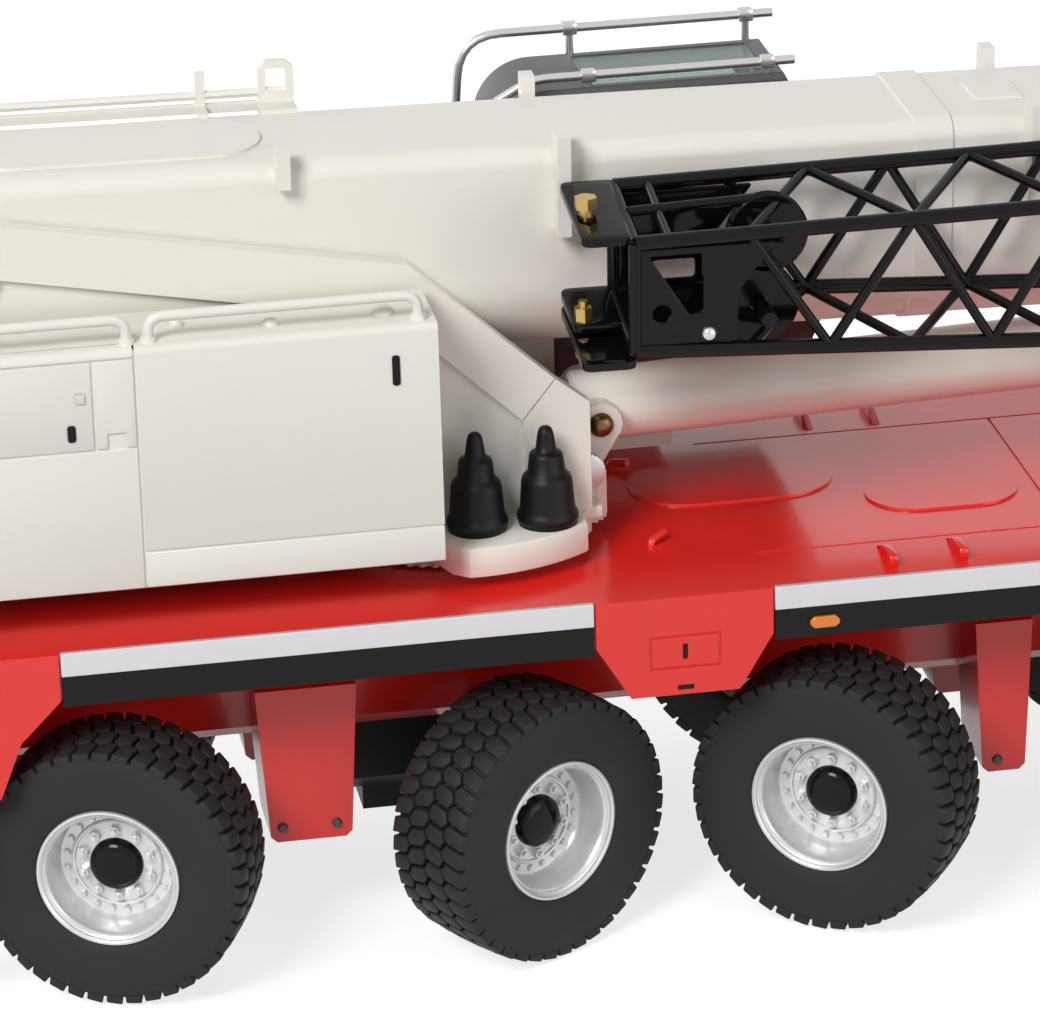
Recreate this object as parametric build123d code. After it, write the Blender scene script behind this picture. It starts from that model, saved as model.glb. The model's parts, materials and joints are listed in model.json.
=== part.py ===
# Die-cast scale model of a five-axle all-terrain mobile crane, in millimetres.
# Shapes are drawn about the slewing axis, with +X forward, +Y left and Z up from the ground.
# The origin of the finished part is on the ground, midway between tail and boom head.
import os
from math import cos, radians, sin, sqrt

from build123d import *

# Reach of the whole model from the slewing axis
TAIL_RADIUS = 86.0
HEAD_REACH = 200.0
SLEW_X = (TAIL_RADIUS - HEAD_REACH) / 2

# Flats of the round pieces that repeat
TREAD_FLAT_COUNT = 36
RIM_FLAT_COUNT = 24
HUB_FLAT_COUNT = 16
PIN_FLAT_COUNT = 12
BAR_FLAT_COUNT = 8
LACE_FLAT_COUNT = 6

# Wheels and steering
TYRE_R = 16.2
TYRE_W = 12.0
SHOULDER = 0.8
BEAD_R = 8.3
RIM_WALL = 0.9
RIM_GAP = 0.1
RIM_SET_IN = 0.5
DISC_Y = 0.2
DISC_THICK = 0.7
HUB_R = 3.0
HUB_OUT = 2.7
STUB_R = 1.4
STUB_REACH = 1.9
STUB_END_GAP = 0.1
KINGPIN_R = 1.2
PIN_GAP = 0.1
KNUCKLE_R = 1.8
KNUCKLE_HALF_H = 2.8
FORK_R = 1.9
FORK_EAR = 2.4
FORK_GAP = 0.25
FORK_ROOT = 1.6
FORK_CLEAR = 0.4
KINGPIN_Y = 22.0
WHEEL_OFFSET = 2.0
AXLE_1_X = 144.0
AXLE_2_X = 88.5
AXLE_3_X = 42.7
AXLE_4_X = 3.8
AXLE_5_X = -42.6
AXLE_X = {1: AXLE_1_X, 2: AXLE_2_X, 3: AXLE_3_X, 4: AXLE_4_X, 5: AXLE_5_X}
STEER_AT_REST = {1: 0.0, 2: 0.0, 3: -33.5, 4: 31.5, 5: -20.3}
SIDES = {"left": 1, "right": -1}
AXLE_BEAM_HALF_W = 2.0
AXLE_BEAM_HALF_H = 2.3
DIFF_R = 5.0
DIFF_HALF_L = 4.2
DIFF_CHAMFER = 1.2
STRUT_R = 1.6
STRUT_Y = 6.2
GEARBOX_L = 11.5
GEARBOX_GAP = 1.5
GEARBOX_HALF_W = 6.5
GEARBOX_BOTTOM = 13.3
SUMP_DEPTH = 3.0
SUMP_INSET = 2.0

# Carrier frame
REAR_END = -76.5
FRONT_END = 179.0
FRAME_FRONT = 160.8
NOSE_FRONT = 166.8
NOSE_BOTTOM = 17.3
NOSE_TOP = 24.9
NOSE_LAP = 8.0
NOSE_INSET = 1.0
FRAME_HALF_W = 9.5
FRAME_BOTTOM = 23.3
FRAME_CHAMFER = 1.5
DECK_UNDER = 38.8
DECK_TOP = 44.5
DECK_HALF_W = 28.5
DECK_FRONT = 136.0
DECK_PLATE = 2.0
DECK_RAIL = 2.0
DECK_RIB_GAP = 1.5
SIDE_FACE = 29.0
PAD_RAISE = 0.3
DECK_PADS = ((35.2, 5.0, 25.0, 14.0), (59.2, -4.0, 18.6, 12.0), (84.0, 0.0, 20.0, 12.0))
DECK_LUGS = ((49.4, 21.6), (57.4, 22.8), (23.0, 11.0), (96.0, 22.0))
LUG_H = 1.3
LUG_L = 2.4
LUG_TIP = 1.0
LUG_W = 1.2
SEAM = 0.3
SEAM_Y = 18.0
SEAM_X = 70.6
HANGER_INNER_Y = 7.0
HANGER_OUTER_Y = 17.0
HANGER_FOOT_Z = 12.9
HANGER_TOP_RISE = 9.0
HANGER_CHAMFER = 0.7
REAR_HANGER_X = -20.0
REAR_HANGER_TOP = 12.0
REAR_HANGER_FOOT = 9.6
FRONT_HANGER_X = 63.7
FRONT_HANGER_TOP = 7.0
FRONT_HANGER_FOOT = 5.2
DISPLAY_HOLE_R = 1.5
DISPLAY_HOLE_DEPTH = 8.0
DISPLAY_HOLES_X = (23.2, 75.0)

# Side trim
TRIM_H = 2.9
TRIM_OUT = 0.7
TRIM_PROUD = 0.2
SKIRT_H = 3.8
SKIRT_OUT = 0.5
SKIRT_REAR = (-49.0, 12.2)
SKIRT_FRONT = (33.4, 104.5)
SKIRT_GAP = 0.2
SIDE_BOX = (12.4, 33.2)
SIDE_BOX_FOOT_Z = 32.3
SIDE_BOX_RUN = 4.0
SIDE_BOX_RISE = 6.6
SIDE_BOX_INNER_Y = 14.0
HATCH_L = 8.4
HATCH_H = 4.2
HATCH_Z = 37.7
HATCH_SLOT_L = 1.9
HATCH_SLOT_H = 0.6
CORNER_PANEL = 2.5
CORNER_CLEAR = 0.6
REAR_CORNER_RUN = 7.5
REAR_CORNER_KNEE = 4.8
REAR_CORNER_DROP = 1.5
MARKER_X = (39.2, 98.0)
MARKER_L = 3.5
MARKER_H = 1.4
MARKER_OUT = 0.6
LAMP_CHAMFER = 0.5
TAIL_LAMP_Y = (15.0, 23.0)
TAIL_LAMP_OUT = 0.8

# Outriggers
OUTRIGGER_X = {"front": 115.5, "rear": -67.9}
BEAM_W = 6.0
BEAM_H = 6.6
BEAM_PITCH = 8.0
BEAM_Z = 28.8
BEAM_GAP = 0.3
BEAM_TAIL_Y = 22.0
HOUSING_HALF_Y = 23.0
HOUSING_WALL = 1.2
JACK_Y = 26.2
JACK_BOX = (7.6, 5.6, 16.0)
JACK_BOX_CHAMFER = 0.7
JACK_CAP = 1.2
JACK_HEADROOM = 0.6
JACK_R = 1.8
JACK_GAP = 0.15
JACK_PAD_R = 4.0
JACK_PAD_H = 1.2
JACK_PAD_CHAMFER = 0.5
JACK_PAD_Z = 10.8

# Driver's cab at the front
CAB_REAR = 142.0
CAB_HALF_W = 28.5
CAB_ROOF = 62.8
CAB_WALL = 1.2
CAB_ROUND = 2.0
CAB_FLOOR = 34.3
CAB_ARCH_X = 162.0
CAB_ARCH_RUN = 2.0
CAB_SILL = 25.3
CAB_BROW = 171.0
CAB_WAIST = 47.3
WINDOW_MARGIN = 3.6
DOOR_PILLAR = 12.0
SCREEN_MARGIN = 1.3
SCREEN_SIDE = 3.0
REAR_PANE_SIDE = 9.0
GLASS = 0.6
GLASS_GAP = 0.05
SEAT_Y = 13.5
SEAT_HALF_W = 5.0
SEAT_H = 6.5
SEAT_L = 10.0
SEAT_BACK_H = 19.0
SEAT_BACK_L = 3.3
SEAT_SET = 3.6
DASH_L = 12.0
DASH_H = 8.0
WHEEL_RING_R = 3.6
WHEEL_RING_W = 0.8
COLUMN_L = 5.5
BUMPER_BOTTOM = 14.3
BUMPER_DEPTH = 12.0
BUMPER_OUT = 1.6
HEADLAMP_Y = 19.0
HEADLAMP_HALF_W = 5.0
HEADLAMP_H = 3.4
HEADLAMP_DROP = 1.8
LAMP_SEAT_GAP = 0.2
MIRROR_DROP = 4.5
MIRROR_H = 9.8
MIRROR_W = 3.6
MIRROR_T = 2.4
MIRROR_REACH = 5.4
MIRROR_ARM_R = 0.5

# Turntable and superstructure
RING_R = 15.0
RING_GAP = 0.3
RING_TEETH = 60
TOOTH_DEPTH = 0.7
DRIVE_X_Y = (14.0, -5.5)
DRIVE_R = 4.2
DRIVE_TEETH = 24
DRIVE_TOP = 51.9
PLATFORM_Z = (46.3, 49.7)
WEIGHT_L = 10.0
PLATFORM_REAR = WEIGHT_L - TAIL_RADIUS
PLATFORM_HALF_W = 24.5
PLATFORM_FRONT = 15.4
PLATFORM_LIP_Y = 23.2
PLATFORM_LIP_RUN = 6.6
PLATFORM_SILL_Y = 16.0
PLATFORM_ROUND = 5.0
PIVOT_SET = 14.0
LUFF_PIVOT = (PLATFORM_REAR + PIVOT_SET, 81.3)
CHEEK_IN = 11.0
CHEEK_OUT = 12.0
CHEEK_BAND = 0.9
CHEEK_FRONT = (15.2, 63.2)
CHEEK_SHOULDER = (11.2, 66.4)
CHEEK_CREST = (-5.6, 81.8)
CHEEK_REAR_CREST = (LUFF_PIVOT[0] + 10.5, 90.4)
BAND_FRONT_X = 7.5
BAND_KNEE = (7.3, 61.5)
BAND_BEND = (-7.5, 75.6)
BAND_REAR = (LUFF_PIVOT[0] + 10.0, 84.0)
BAND_TAIL = (LUFF_PIVOT[0] + 5.0, 74.0)
BOSS_R = 5.0
BOSS_OUT = 0.9
LUFF_PIN_R = 2.6
CABINET_SET = 3.0
CABINET_X = (PLATFORM_REAR + CABINET_SET, -4.2)
CABINET_SPLIT = CABINET_X[0] + 34.5
CABINET_Y = (14.2, 26.0)
CABINET_Z = (50.5, 79.3)
CABINET_ROUND = 0.9
PANEL_GROOVE = 0.3
PANEL_DEPTH = 0.25
SILL_Z = 5.4
DOOR_SPLIT_Z = 14.6
DOOR_SPLIT_X = 5.0
TANK_TOP = 71.3
TANK_FRONT = -6.0
TANK_ROUND = 2.5
RAIL_R = 0.55
RAIL_BEND = 1.7
RAIL_INSET = 1.9
RAIL_H = 2.9
TANK_RAIL_H = 9.0
CONE_X_Y = ((0.8, -17.6), (9.2, -16.4))
CONE_STEPS = ((3.4, 1.0), (3.0, 4.4), (2.3, 2.2), (1.75, 2.0), (1.1, 2.6))
CONE_TAPER = 0.88
CONE_FLAT_COUNT = 20
WEIGHT_Z = (47.3, 73.3)
WEIGHT_HALF_W = 25.0
WEIGHT_SLAB = 8.6
WEIGHT_GROOVE = 0.4
DRUM_X_Z = (LUFF_PIVOT[0] + 12.0, 58.8)
DRUM_R = 5.0
DRUM_FLANGE_R = 7.5
DRUM_FLANGE_W = 1.0
DRUM_HALF_L = 10.5
DRUM_SHAFT_R = 1.5

# Crane operator's cab
OP_Y = (14.0, 29.4)
OP_REAR = 9.0
OP_FRONT = 50.0
OP_FLOOR = 50.0
OP_ROOF = 92.4
OP_CROWN = 7.0
OP_BROW_RUN = 5.5
OP_BROW_DROP = 11.0
OP_CHIN_RISE = 14.0
OP_CHIN_RUN = 6.0
OP_ROUND = 0.9
OP_WALL = 1.0
OP_FRAME = 1.8
OP_ROOF_PILLAR = 12.0
OP_DOOR_PILLAR = 11.0
OP_HINGE = (-2.4, 2.2)
OP_HINGE_R = 1.5
OP_HINGE_PIN_R = 0.7
OP_EAR_W = 2.0
OP_EAR_INSET = (0.4, 3.0)
OP_EAR_GAP = 0.3
OP_STEP_FRONT = 30.0
OP_SEAT_HALF_W = 4.0
OP_SEAT_L = 10.0
OP_SEAT_H = 12.0
OP_BACK_H = 31.0
OP_BACK_L = 3.0
OP_CONSOLE_H = 14.5
NEAR_RAIL_Y = 15.6
NEAR_RAIL_Z = 93.6
NEAR_RAIL_START = (9.8, 91.2)
NEAR_RAIL_BEND_X = 14.2
FAR_RAIL_Y = 28.0
FAR_RAIL_Z = 95.8
FAR_RAIL_START = (6.6, 84.0)
FAR_RAIL_BEND_X = 7.6
ROOF_RAIL_END = 46.0
ROOF_RAIL_BEND = 4.0

# Telescopic boom, drawn level and lowered by its rest angle about the luffing pin
BOOM_REST_DROP = 1.0
BOOM_CENTRE = 79.1
BOOM_UPPER_H = 16.0
BOOM_TOP = BOOM_CENTRE + BOOM_UPPER_H
BOOM_HALF_W = 10.5
BOOM_BOTTOM = BOOM_CENTRE - BOOM_HALF_W
BOOM_CORNER = 2.5
CORNER_SHRINK = 0.33
BOOM_WALL = 0.9
SECTION_GAP = 0.35
SECTION_WALL = 0.8
SECTION_COUNT = 5
BOOM_FOOT_L = 4.0
BOOM_FOOT_X = LUFF_PIVOT[0] + BOOM_FOOT_L
HEAD_L = 24.0
BOOM_FRONT = HEAD_REACH - HEAD_L
SECTION_STEP = 3.4
SECTION_TAIL = 4.0
SECTION_TAIL_STEP = 2.0
FIN_FRONT_SET = 26.0
FIN_X = (12.6, 68.2, BOOM_FRONT - FIN_FRONT_SET)
FIN_T = 1.6
FIN_H = 12.0
FIN_RISE = 2.0
FIN_OUT_RIGHT = 3.2
FIN_OUT_LEFT = 2.0
REAR_FIN_X = -19.4
REAR_FIN_H = 4.6
TOP_PLATE_X = (BOOM_FOOT_X + 2.0, -20.5)
TOP_PLATE_W = 14.0
TOP_BAND_X = 56.6
TOP_BAND_W = 4.4
HATCH_RAISE = 0.3
TOP_HATCH_X = 66.0
TOP_HATCH_L = 5.6
TOP_HATCH_W = 7.2
GUARD_X = (BOOM_FOOT_X + 2.0, -15.0)
GUARD_Y = 11.9
GUARD_RISE = 1.6
GUARD_BAR_H = 1.0
GUARD_POST_X = -26.0
GUARD_POST_H = 4.4
GUARD_LOOP_L = 4.2
GUARD_LOOP_H = 5.4
GUARD_LOOP_WALL = 0.9
HEAD_PLATE = 1.4
HEAD_SHEAVE_R = 5.0
HEAD_SHEAVE_W = 1.4
HEAD_SHEAVE_FLAT_COUNT = 24
HEAD_SHAFT_R = 1.2
HEAD_PIN_BACK = 5.5
HEAD_PIN_DROP = 2.6
HEAD_TOP_BACK = 5.0
HEAD_TOP_DROP = 6.5

# Lattice jib stowed on the right side of the boom
JIB_START = 18.0
JIB_WAIST = 110.0
JIB_END_BACK = 14.0
JIB_X = (JIB_START, JIB_WAIST, HEAD_REACH - JIB_END_BACK)
JIB_NEAR_Y = -28.0
JIB_FAR_Y = -14.8
JIB_RISE = (3.3, 2.4, 1.7)
JIB_HALF_H = (6.4, 9.5, 4.5)
JIB_FAR_SHIFT = 2.5
JIB_CHORD_R = 0.9
JIB_LACE_R = 0.6
JIB_BAY_COUNT = 8
JIB_LACE_START = 13.0
JIB_LACE_END = 3.0
JIB_PLATE = 0.8
JIB_PLATE_TOP_L = 16.0
JIB_PLATE_L = 12.0
JIB_WINDOW = ((1.7, 1.9), (8.0, 2.4), (8.0, 9.4), (6.7, 9.4))
JIB_HOLE = (3.0, 8.9)
JIB_HOLE_R = 1.0
JIB_LUG = 1.1
JIB_LUG_REACH = 6.6
JIB_LUG_SET = 0.6
JIB_LUG_ROUND = 1.5
JIB_SHEAVE_X = 16.5
JIB_SHEAVE_R = 4.6
JIB_SHEAVE_W = 1.6
JIB_SHEAVE_FLAT_COUNT = 24
JIB_SHEAVE_DROP = 1.2

# Luffing cylinder
LUFF_BASE = (17.5, 57.9)
LUFF_EYE_X = 130.3
LUFF_EYE_DROP = 3.7
BARREL_R = 4.3
BARREL_START = 6.0
BARREL_TAIL = 2.6
TAIL_CHAMFER = 0.6
BARREL_END_GAP = 13.3
BARREL_FLOOR = 1.0
ROD_R = 2.6
ROD_GAP = 0.15
ROD_SEAT = 0.4
EYE_PIN_R = 1.2
EYE_R = 2.7
EYE_W = 6.0
BASE_EAR_R = 2.6
BASE_EAR_BACK = 11.5
BASE_EAR_SET = 4.0
EAR_GAP = 0.5
EAR_W = 2.2
EAR_ROOT = 7.0
EAR_TIP = 3.0


# Basic shapes
def block(x, y, z):
    centre = ((x[0] + x[1]) / 2, (y[0] + y[1]) / 2, (z[0] + z[1]) / 2)
    return Pos(*centre) * Box(x[1] - x[0], y[1] - y[0], z[1] - z[0])


def around(middle, width):
    return (middle - width / 2, middle + width / 2)


def rod(start, end, radius, flats=0):
    a, b = Vector(*start), Vector(*end)
    outline = RegularPolygon(radius, flats) if flats else Circle(radius)
    return extrude(Plane(a, z_dir=b - a) * outline, amount=(b - a).length)


def cross_rod(x, z, y, radius, flats=0):
    return rod((x, y[0], z), (x, y[1], z), radius, flats)


def side_profile(points, y):
    face = Plane.XZ.offset(-y[1]) * make_face(Polyline(*points, close=True))
    return extrude(face, amount=y[1] - y[0], dir=(0, -1, 0))


def plan_profile(points, z):
    face = Plane.XY.offset(z[0]) * make_face(Polyline(*points, close=True))
    return extrude(face, amount=z[1] - z[0], dir=(0, 0, 1))


def bent_bar(points, bend, radius, flats):
    path = FilletPolyline(*points, radius=bend)
    start = Vector(*points[0])
    return sweep(Plane(start, z_dir=Vector(*points[1]) - start) * RegularPolygon(radius, flats), path=path)


def mirrored(shape):
    return shape.mirror(Plane.XZ)


def both_sides(shape):
    return [shape, mirrored(shape)]


def added(shapes):
    whole = shapes[0]
    return whole.fuse(*shapes[1:]) if len(shapes) > 1 else whole


# Wheels, drawn about the wheel axle with the outer face towards +Y
def disc(radius, y, flats):
    return cross_rod(0, 0, y, radius, flats)


def tyre():
    half = TYRE_W / 2
    band = disc(TYRE_R, (-half, half), TREAD_FLAT_COUNT)
    band = chamfer(band.edges().filter_by(Axis.Y, reverse=True), SHOULDER)
    return band - disc(BEAD_R, (-half, half), RIM_FLAT_COUNT)


def rim():
    seat = BEAD_R - RIM_GAP
    inner = seat - RIM_WALL
    face = TYRE_W / 2 - RIM_SET_IN
    barrel = disc(seat, (-face, face), RIM_FLAT_COUNT)
    barrel -= disc(inner, (DISC_Y + DISC_THICK, face), RIM_FLAT_COUNT)
    barrel -= disc(inner, (-face, DISC_Y), RIM_FLAT_COUNT)
    barrel += disc(HUB_R, (-STUB_END_GAP, HUB_OUT), HUB_FLAT_COUNT)
    return barrel - disc(STUB_R + PIN_GAP, (-STUB_END_GAP, STUB_REACH + STUB_END_GAP), PIN_FLAT_COUNT)


def knuckle():
    body = rod((0, 0, -KNUCKLE_HALF_H), (0, 0, KNUCKLE_HALF_H), KNUCKLE_R, BAR_FLAT_COUNT)
    reach = KNUCKLE_HALF_H + FORK_GAP + FORK_EAR
    pin = rod((0, 0, -reach), (0, 0, reach), KINGPIN_R, PIN_FLAT_COUNT)
    return body + pin + disc(STUB_R, (0, WHEEL_OFFSET + STUB_REACH), PIN_FLAT_COUNT)


def at_kingpin(shape, axle, side):
    turn = STEER_AT_REST[axle] + (0 if SIDES[side] > 0 else 180)
    return Pos(AXLE_X[axle], SIDES[side] * KINGPIN_Y, TYRE_R) * Rot(0, 0, turn) * shape


# Axle beams with their forks and the differential in the middle
def fork(x):
    web = KINGPIN_Y - KNUCKLE_R - FORK_CLEAR
    low = KNUCKLE_HALF_H + FORK_GAP
    high = low + FORK_EAR
    across = (x - FORK_R, x + FORK_R)
    shape = block(across, (web - FORK_ROOT, web), (TYRE_R - high, TYRE_R + high))
    for z in ((TYRE_R - high, TYRE_R - low), (TYRE_R + low, TYRE_R + high)):
        shape += block(across, (web - FORK_ROOT, KINGPIN_Y), z)
        shape += rod((x, KINGPIN_Y, z[0]), (x, KINGPIN_Y, z[1]), FORK_R, PIN_FLAT_COUNT)
        shape -= rod((x, KINGPIN_Y, z[0]), (x, KINGPIN_Y, z[1]), KINGPIN_R + PIN_GAP, PIN_FLAT_COUNT)
    return shape


def axle_beam(x):
    reach = KINGPIN_Y - KNUCKLE_R - FORK_CLEAR
    beam = block(
        (x - AXLE_BEAM_HALF_W, x + AXLE_BEAM_HALF_W),
        (-reach, reach),
        (TYRE_R - AXLE_BEAM_HALF_H, TYRE_R + AXLE_BEAM_HALF_H),
    )
    housing = cross_rod(x, TYRE_R, (-DIFF_HALF_L, DIFF_HALF_L), DIFF_R, PIN_FLAT_COUNT)
    beam += chamfer(housing.edges().filter_by(Axis.Y, reverse=True), DIFF_CHAMFER)
    for y in (-STRUT_Y, STRUT_Y):
        beam += rod((x, y, TYRE_R), (x, y, FRAME_BOTTOM), STRUT_R, PIN_FLAT_COUNT)
    for end in both_sides(fork(x)):
        beam += end
    return beam


def gearbox():
    front = AXLE_4_X - DIFF_R - GEARBOX_GAP
    rear = front - GEARBOX_L
    half = GEARBOX_HALF_W
    case = block((rear, front), (-half, half), (GEARBOX_BOTTOM, FRAME_BOTTOM))
    case = chamfer(case.edges().filter_by(Axis.X).group_by(Axis.Z)[0], SUMP_INSET)
    return case + block(
        (rear + SUMP_INSET, front - SUMP_INSET),
        (-half + SUMP_INSET, half - SUMP_INSET),
        (GEARBOX_BOTTOM - SUMP_DEPTH, GEARBOX_BOTTOM),
    )


# Outriggers
def beam_x(station, side):
    return OUTRIGGER_X[station] + SIDES[side] * -BEAM_PITCH / 2


def tunnel(station, side):
    x = around(beam_x(station, side), BEAM_W + 2 * BEAM_GAP)
    return block(x, (-SIDE_FACE, SIDE_FACE), around(BEAM_Z, BEAM_H + 2 * BEAM_GAP))


def outrigger_housing(station):
    x = around(OUTRIGGER_X[station], BEAM_PITCH + BEAM_W + 2 * (BEAM_GAP + HOUSING_WALL))
    z = around(BEAM_Z, BEAM_H + 2 * (BEAM_GAP + HOUSING_WALL))
    box = block(x, (-HOUSING_HALF_Y, HOUSING_HALF_Y), z)
    return box + block(x, (-FRAME_HALF_W, FRAME_HALF_W), (BEAM_Z, DECK_UNDER))


def on_side(shape, side):
    return shape if SIDES[side] > 0 else mirrored(shape)


def outrigger_beam(station, side):
    x = beam_x(station, side)
    y = around(JACK_Y, JACK_BOX[1])
    beam = block(around(x, BEAM_W), (-BEAM_TAIL_Y, y[0]), around(BEAM_Z, BEAM_H))
    z = around(BEAM_Z, JACK_BOX[2])
    box = block(around(x, JACK_BOX[0]), y, z)
    box = chamfer(box.edges().filter_by(Axis.Z), JACK_BOX_CHAMFER)
    bore = rod((x, JACK_Y, z[0]), (x, JACK_Y, z[1] - JACK_CAP), JACK_R + JACK_GAP, PIN_FLAT_COUNT)
    return on_side((beam + box) - bore, side)


def outrigger_jack(station, side):
    x = beam_x(station, side)
    top = BEAM_Z + JACK_BOX[2] / 2 - JACK_CAP - JACK_HEADROOM
    pad = rod((x, JACK_Y, JACK_PAD_Z), (x, JACK_Y, JACK_PAD_Z + JACK_PAD_H), JACK_PAD_R, HUB_FLAT_COUNT)
    pad = chamfer(pad.edges().group_by(Axis.Z)[-1], JACK_PAD_CHAMFER)
    return on_side(pad + rod((x, JACK_Y, JACK_PAD_Z), (x, JACK_Y, top), JACK_R, PIN_FLAT_COUNT), side)


# Carrier
def hanger(x, top_l, foot_l):
    top = FRAME_BOTTOM + HANGER_TOP_RISE
    (t0, t1), (f0, f1) = around(x, top_l), around(x, foot_l)
    outline = [(t0, top), (t1, top), (f1, HANGER_FOOT_Z), (f0, HANGER_FOOT_Z)]
    post = side_profile(outline, (HANGER_INNER_Y, HANGER_OUTER_Y))
    return chamfer(post.edges().filter_by(Axis.Y).group_by(Axis.Z)[0], HANGER_CHAMFER)


def chassis_frame():
    half = FRAME_HALF_W
    frame = block((REAR_END, FRAME_FRONT), (-half, half), (FRAME_BOTTOM, DECK_UNDER))
    frame = chamfer(frame.edges().filter_by(Axis.X).group_by(Axis.Z)[0], FRAME_CHAMFER)
    frame -= block((DECK_FRONT, FRAME_FRONT), (-half, half), (CAB_FLOOR, DECK_UNDER))
    inset = half - NOSE_INSET
    frame += block((FRAME_FRONT - NOSE_LAP, NOSE_FRONT), (-inset, inset), (NOSE_BOTTOM, NOSE_TOP))
    for station in OUTRIGGER_X:
        frame += outrigger_housing(station)
    hangers = both_sides(hanger(REAR_HANGER_X, REAR_HANGER_TOP, REAR_HANGER_FOOT))
    hangers += both_sides(hanger(FRONT_HANGER_X, FRONT_HANGER_TOP, FRONT_HANGER_FOOT))
    for post in hangers:
        frame += post
    for station in OUTRIGGER_X:
        for side in SIDES:
            frame -= tunnel(station, side)
    for x in DISPLAY_HOLES_X:
        frame -= rod((x, 0, FRAME_BOTTOM), (x, 0, FRAME_BOTTOM + DISPLAY_HOLE_DEPTH), DISPLAY_HOLE_R)
    return frame


def frame_groove(x, z, y):
    outer = block(x, y, z)
    return outer - block((x[0] + SEAM, x[1] - SEAM), y, (z[0] + SEAM, z[1] - SEAM))


def side_box():
    x0, x1 = SIDE_BOX
    foot, shoulder = SIDE_BOX_FOOT_Z, SIDE_BOX_FOOT_Z + SIDE_BOX_RISE
    outline = [
        (x0, DECK_TOP), (x0, shoulder), (x0 + SIDE_BOX_RUN, foot),
        (x1 - SIDE_BOX_RUN, foot), (x1, shoulder), (x1, DECK_TOP),
    ]
    box = side_profile(outline, (SIDE_BOX_INNER_Y, SIDE_FACE))
    middle = (x0 + x1) / 2
    skin = (SIDE_FACE - SEAM, SIDE_FACE)
    box -= frame_groove(around(middle, HATCH_L), around(HATCH_Z, HATCH_H), skin)
    box -= block(around(middle, HATCH_SLOT_H), skin, around(HATCH_Z, HATCH_SLOT_L))
    return box - block(around(middle, HATCH_SLOT_L), skin, (foot + HATCH_SLOT_H, foot + 2 * HATCH_SLOT_H))


def jack_box_top():
    return BEAM_Z + JACK_BOX[2] / 2 + CORNER_CLEAR


def rear_corner():
    x0 = SKIRT_REAR[0] - SKIRT_GAP
    low = BEAM_Z - REAR_CORNER_DROP
    inset = OUTRIGGER_X["rear"] + (BEAM_PITCH + JACK_BOX[0]) / 2 + CORNER_CLEAR
    outline = [
        (x0, DECK_TOP), (x0, DECK_UNDER), (x0 - REAR_CORNER_KNEE, DECK_UNDER - REAR_CORNER_KNEE),
        (x0 - REAR_CORNER_RUN, low), (inset, low),
        (inset, jack_box_top()), (REAR_END, jack_box_top()), (REAR_END, DECK_TOP),
    ]
    return side_profile(outline, (SIDE_FACE - CORNER_PANEL, SIDE_FACE))


def front_corner():
    x0 = SKIRT_FRONT[1] + SKIRT_GAP
    return block((x0, DECK_FRONT), (SIDE_FACE - CORNER_PANEL, SIDE_FACE), (jack_box_top(), DECK_TOP))


def deck_lug(x, y):
    half, tip = LUG_L / 2, LUG_TIP / 2
    top = DECK_TOP + LUG_H
    outline = [(x - half, DECK_TOP), (x - tip, top), (x + tip, top), (x + half, DECK_TOP)]
    return side_profile(outline, around(y, LUG_W))


def deck_pad(x, y, length, width):
    return extrude(Plane.XY.offset(DECK_TOP) * Pos(x, y) * SlotOverall(length, width), amount=PAD_RAISE)


def deck_seams():
    z = (DECK_TOP - SEAM, DECK_TOP)
    lengthwise = block((SKIRT_FRONT[0], DECK_FRONT), around(SEAM_Y, SEAM), z)
    across = block(around(SEAM_X, SEAM), (-SEAM_Y, SEAM_Y), z)
    return both_sides(lengthwise) + [across]


def deck():
    slab = block((REAR_END, DECK_FRONT), (-DECK_HALF_W, DECK_HALF_W), (DECK_UNDER, DECK_TOP))
    pocket = block(
        (REAR_END + DECK_RAIL, DECK_FRONT - DECK_RAIL),
        (FRAME_HALF_W + DECK_RIB_GAP, DECK_HALF_W - DECK_RAIL),
        (DECK_UNDER, DECK_TOP - DECK_PLATE),
    )
    for half in both_sides(pocket):
        slab -= half
    for shape in (side_box(), rear_corner(), front_corner()):
        for half in both_sides(shape):
            slab += half
    for groove in deck_seams():
        slab -= groove
    for x, y, length, width in DECK_PADS:
        slab += deck_pad(x, y, length, width)
    for x, y in DECK_LUGS:
        for half in both_sides(deck_lug(x, y)):
            slab += half
    return slab


def trim_strips():
    top = DECK_TOP + TRIM_PROUD
    strips = []
    for x in (SKIRT_REAR, SKIRT_FRONT):
        strips += both_sides(block(x, (DECK_HALF_W, DECK_HALF_W + TRIM_OUT), (top - TRIM_H, top)))
    return strips


def skirt_top():
    return DECK_TOP + TRIM_PROUD - TRIM_H


def skirt_strips():
    y = (DECK_HALF_W, DECK_HALF_W + SKIRT_OUT)
    strips = []
    for x in (SKIRT_REAR, SKIRT_FRONT):
        strips += both_sides(block(x, y, (skirt_top() - SKIRT_H, skirt_top())))
    return strips


def marker_lamps():
    y = DECK_HALF_W + SKIRT_OUT
    lamps = []
    for x in MARKER_X:
        lens = block(around(x, MARKER_L), (y, y + MARKER_OUT), around(skirt_top() - SKIRT_H / 2, MARKER_H))
        lamps += both_sides(chamfer(lens.edges().filter_by(Axis.Y), LAMP_CHAMFER))
    return lamps


def tail_lamps():
    z = around((DECK_UNDER + DECK_TOP) / 2, TRIM_H)
    lamp = block((REAR_END - TAIL_LAMP_OUT, REAR_END), TAIL_LAMP_Y, z)
    return both_sides(chamfer(lamp.edges().filter_by(Axis.X), LAMP_CHAMFER))


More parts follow.
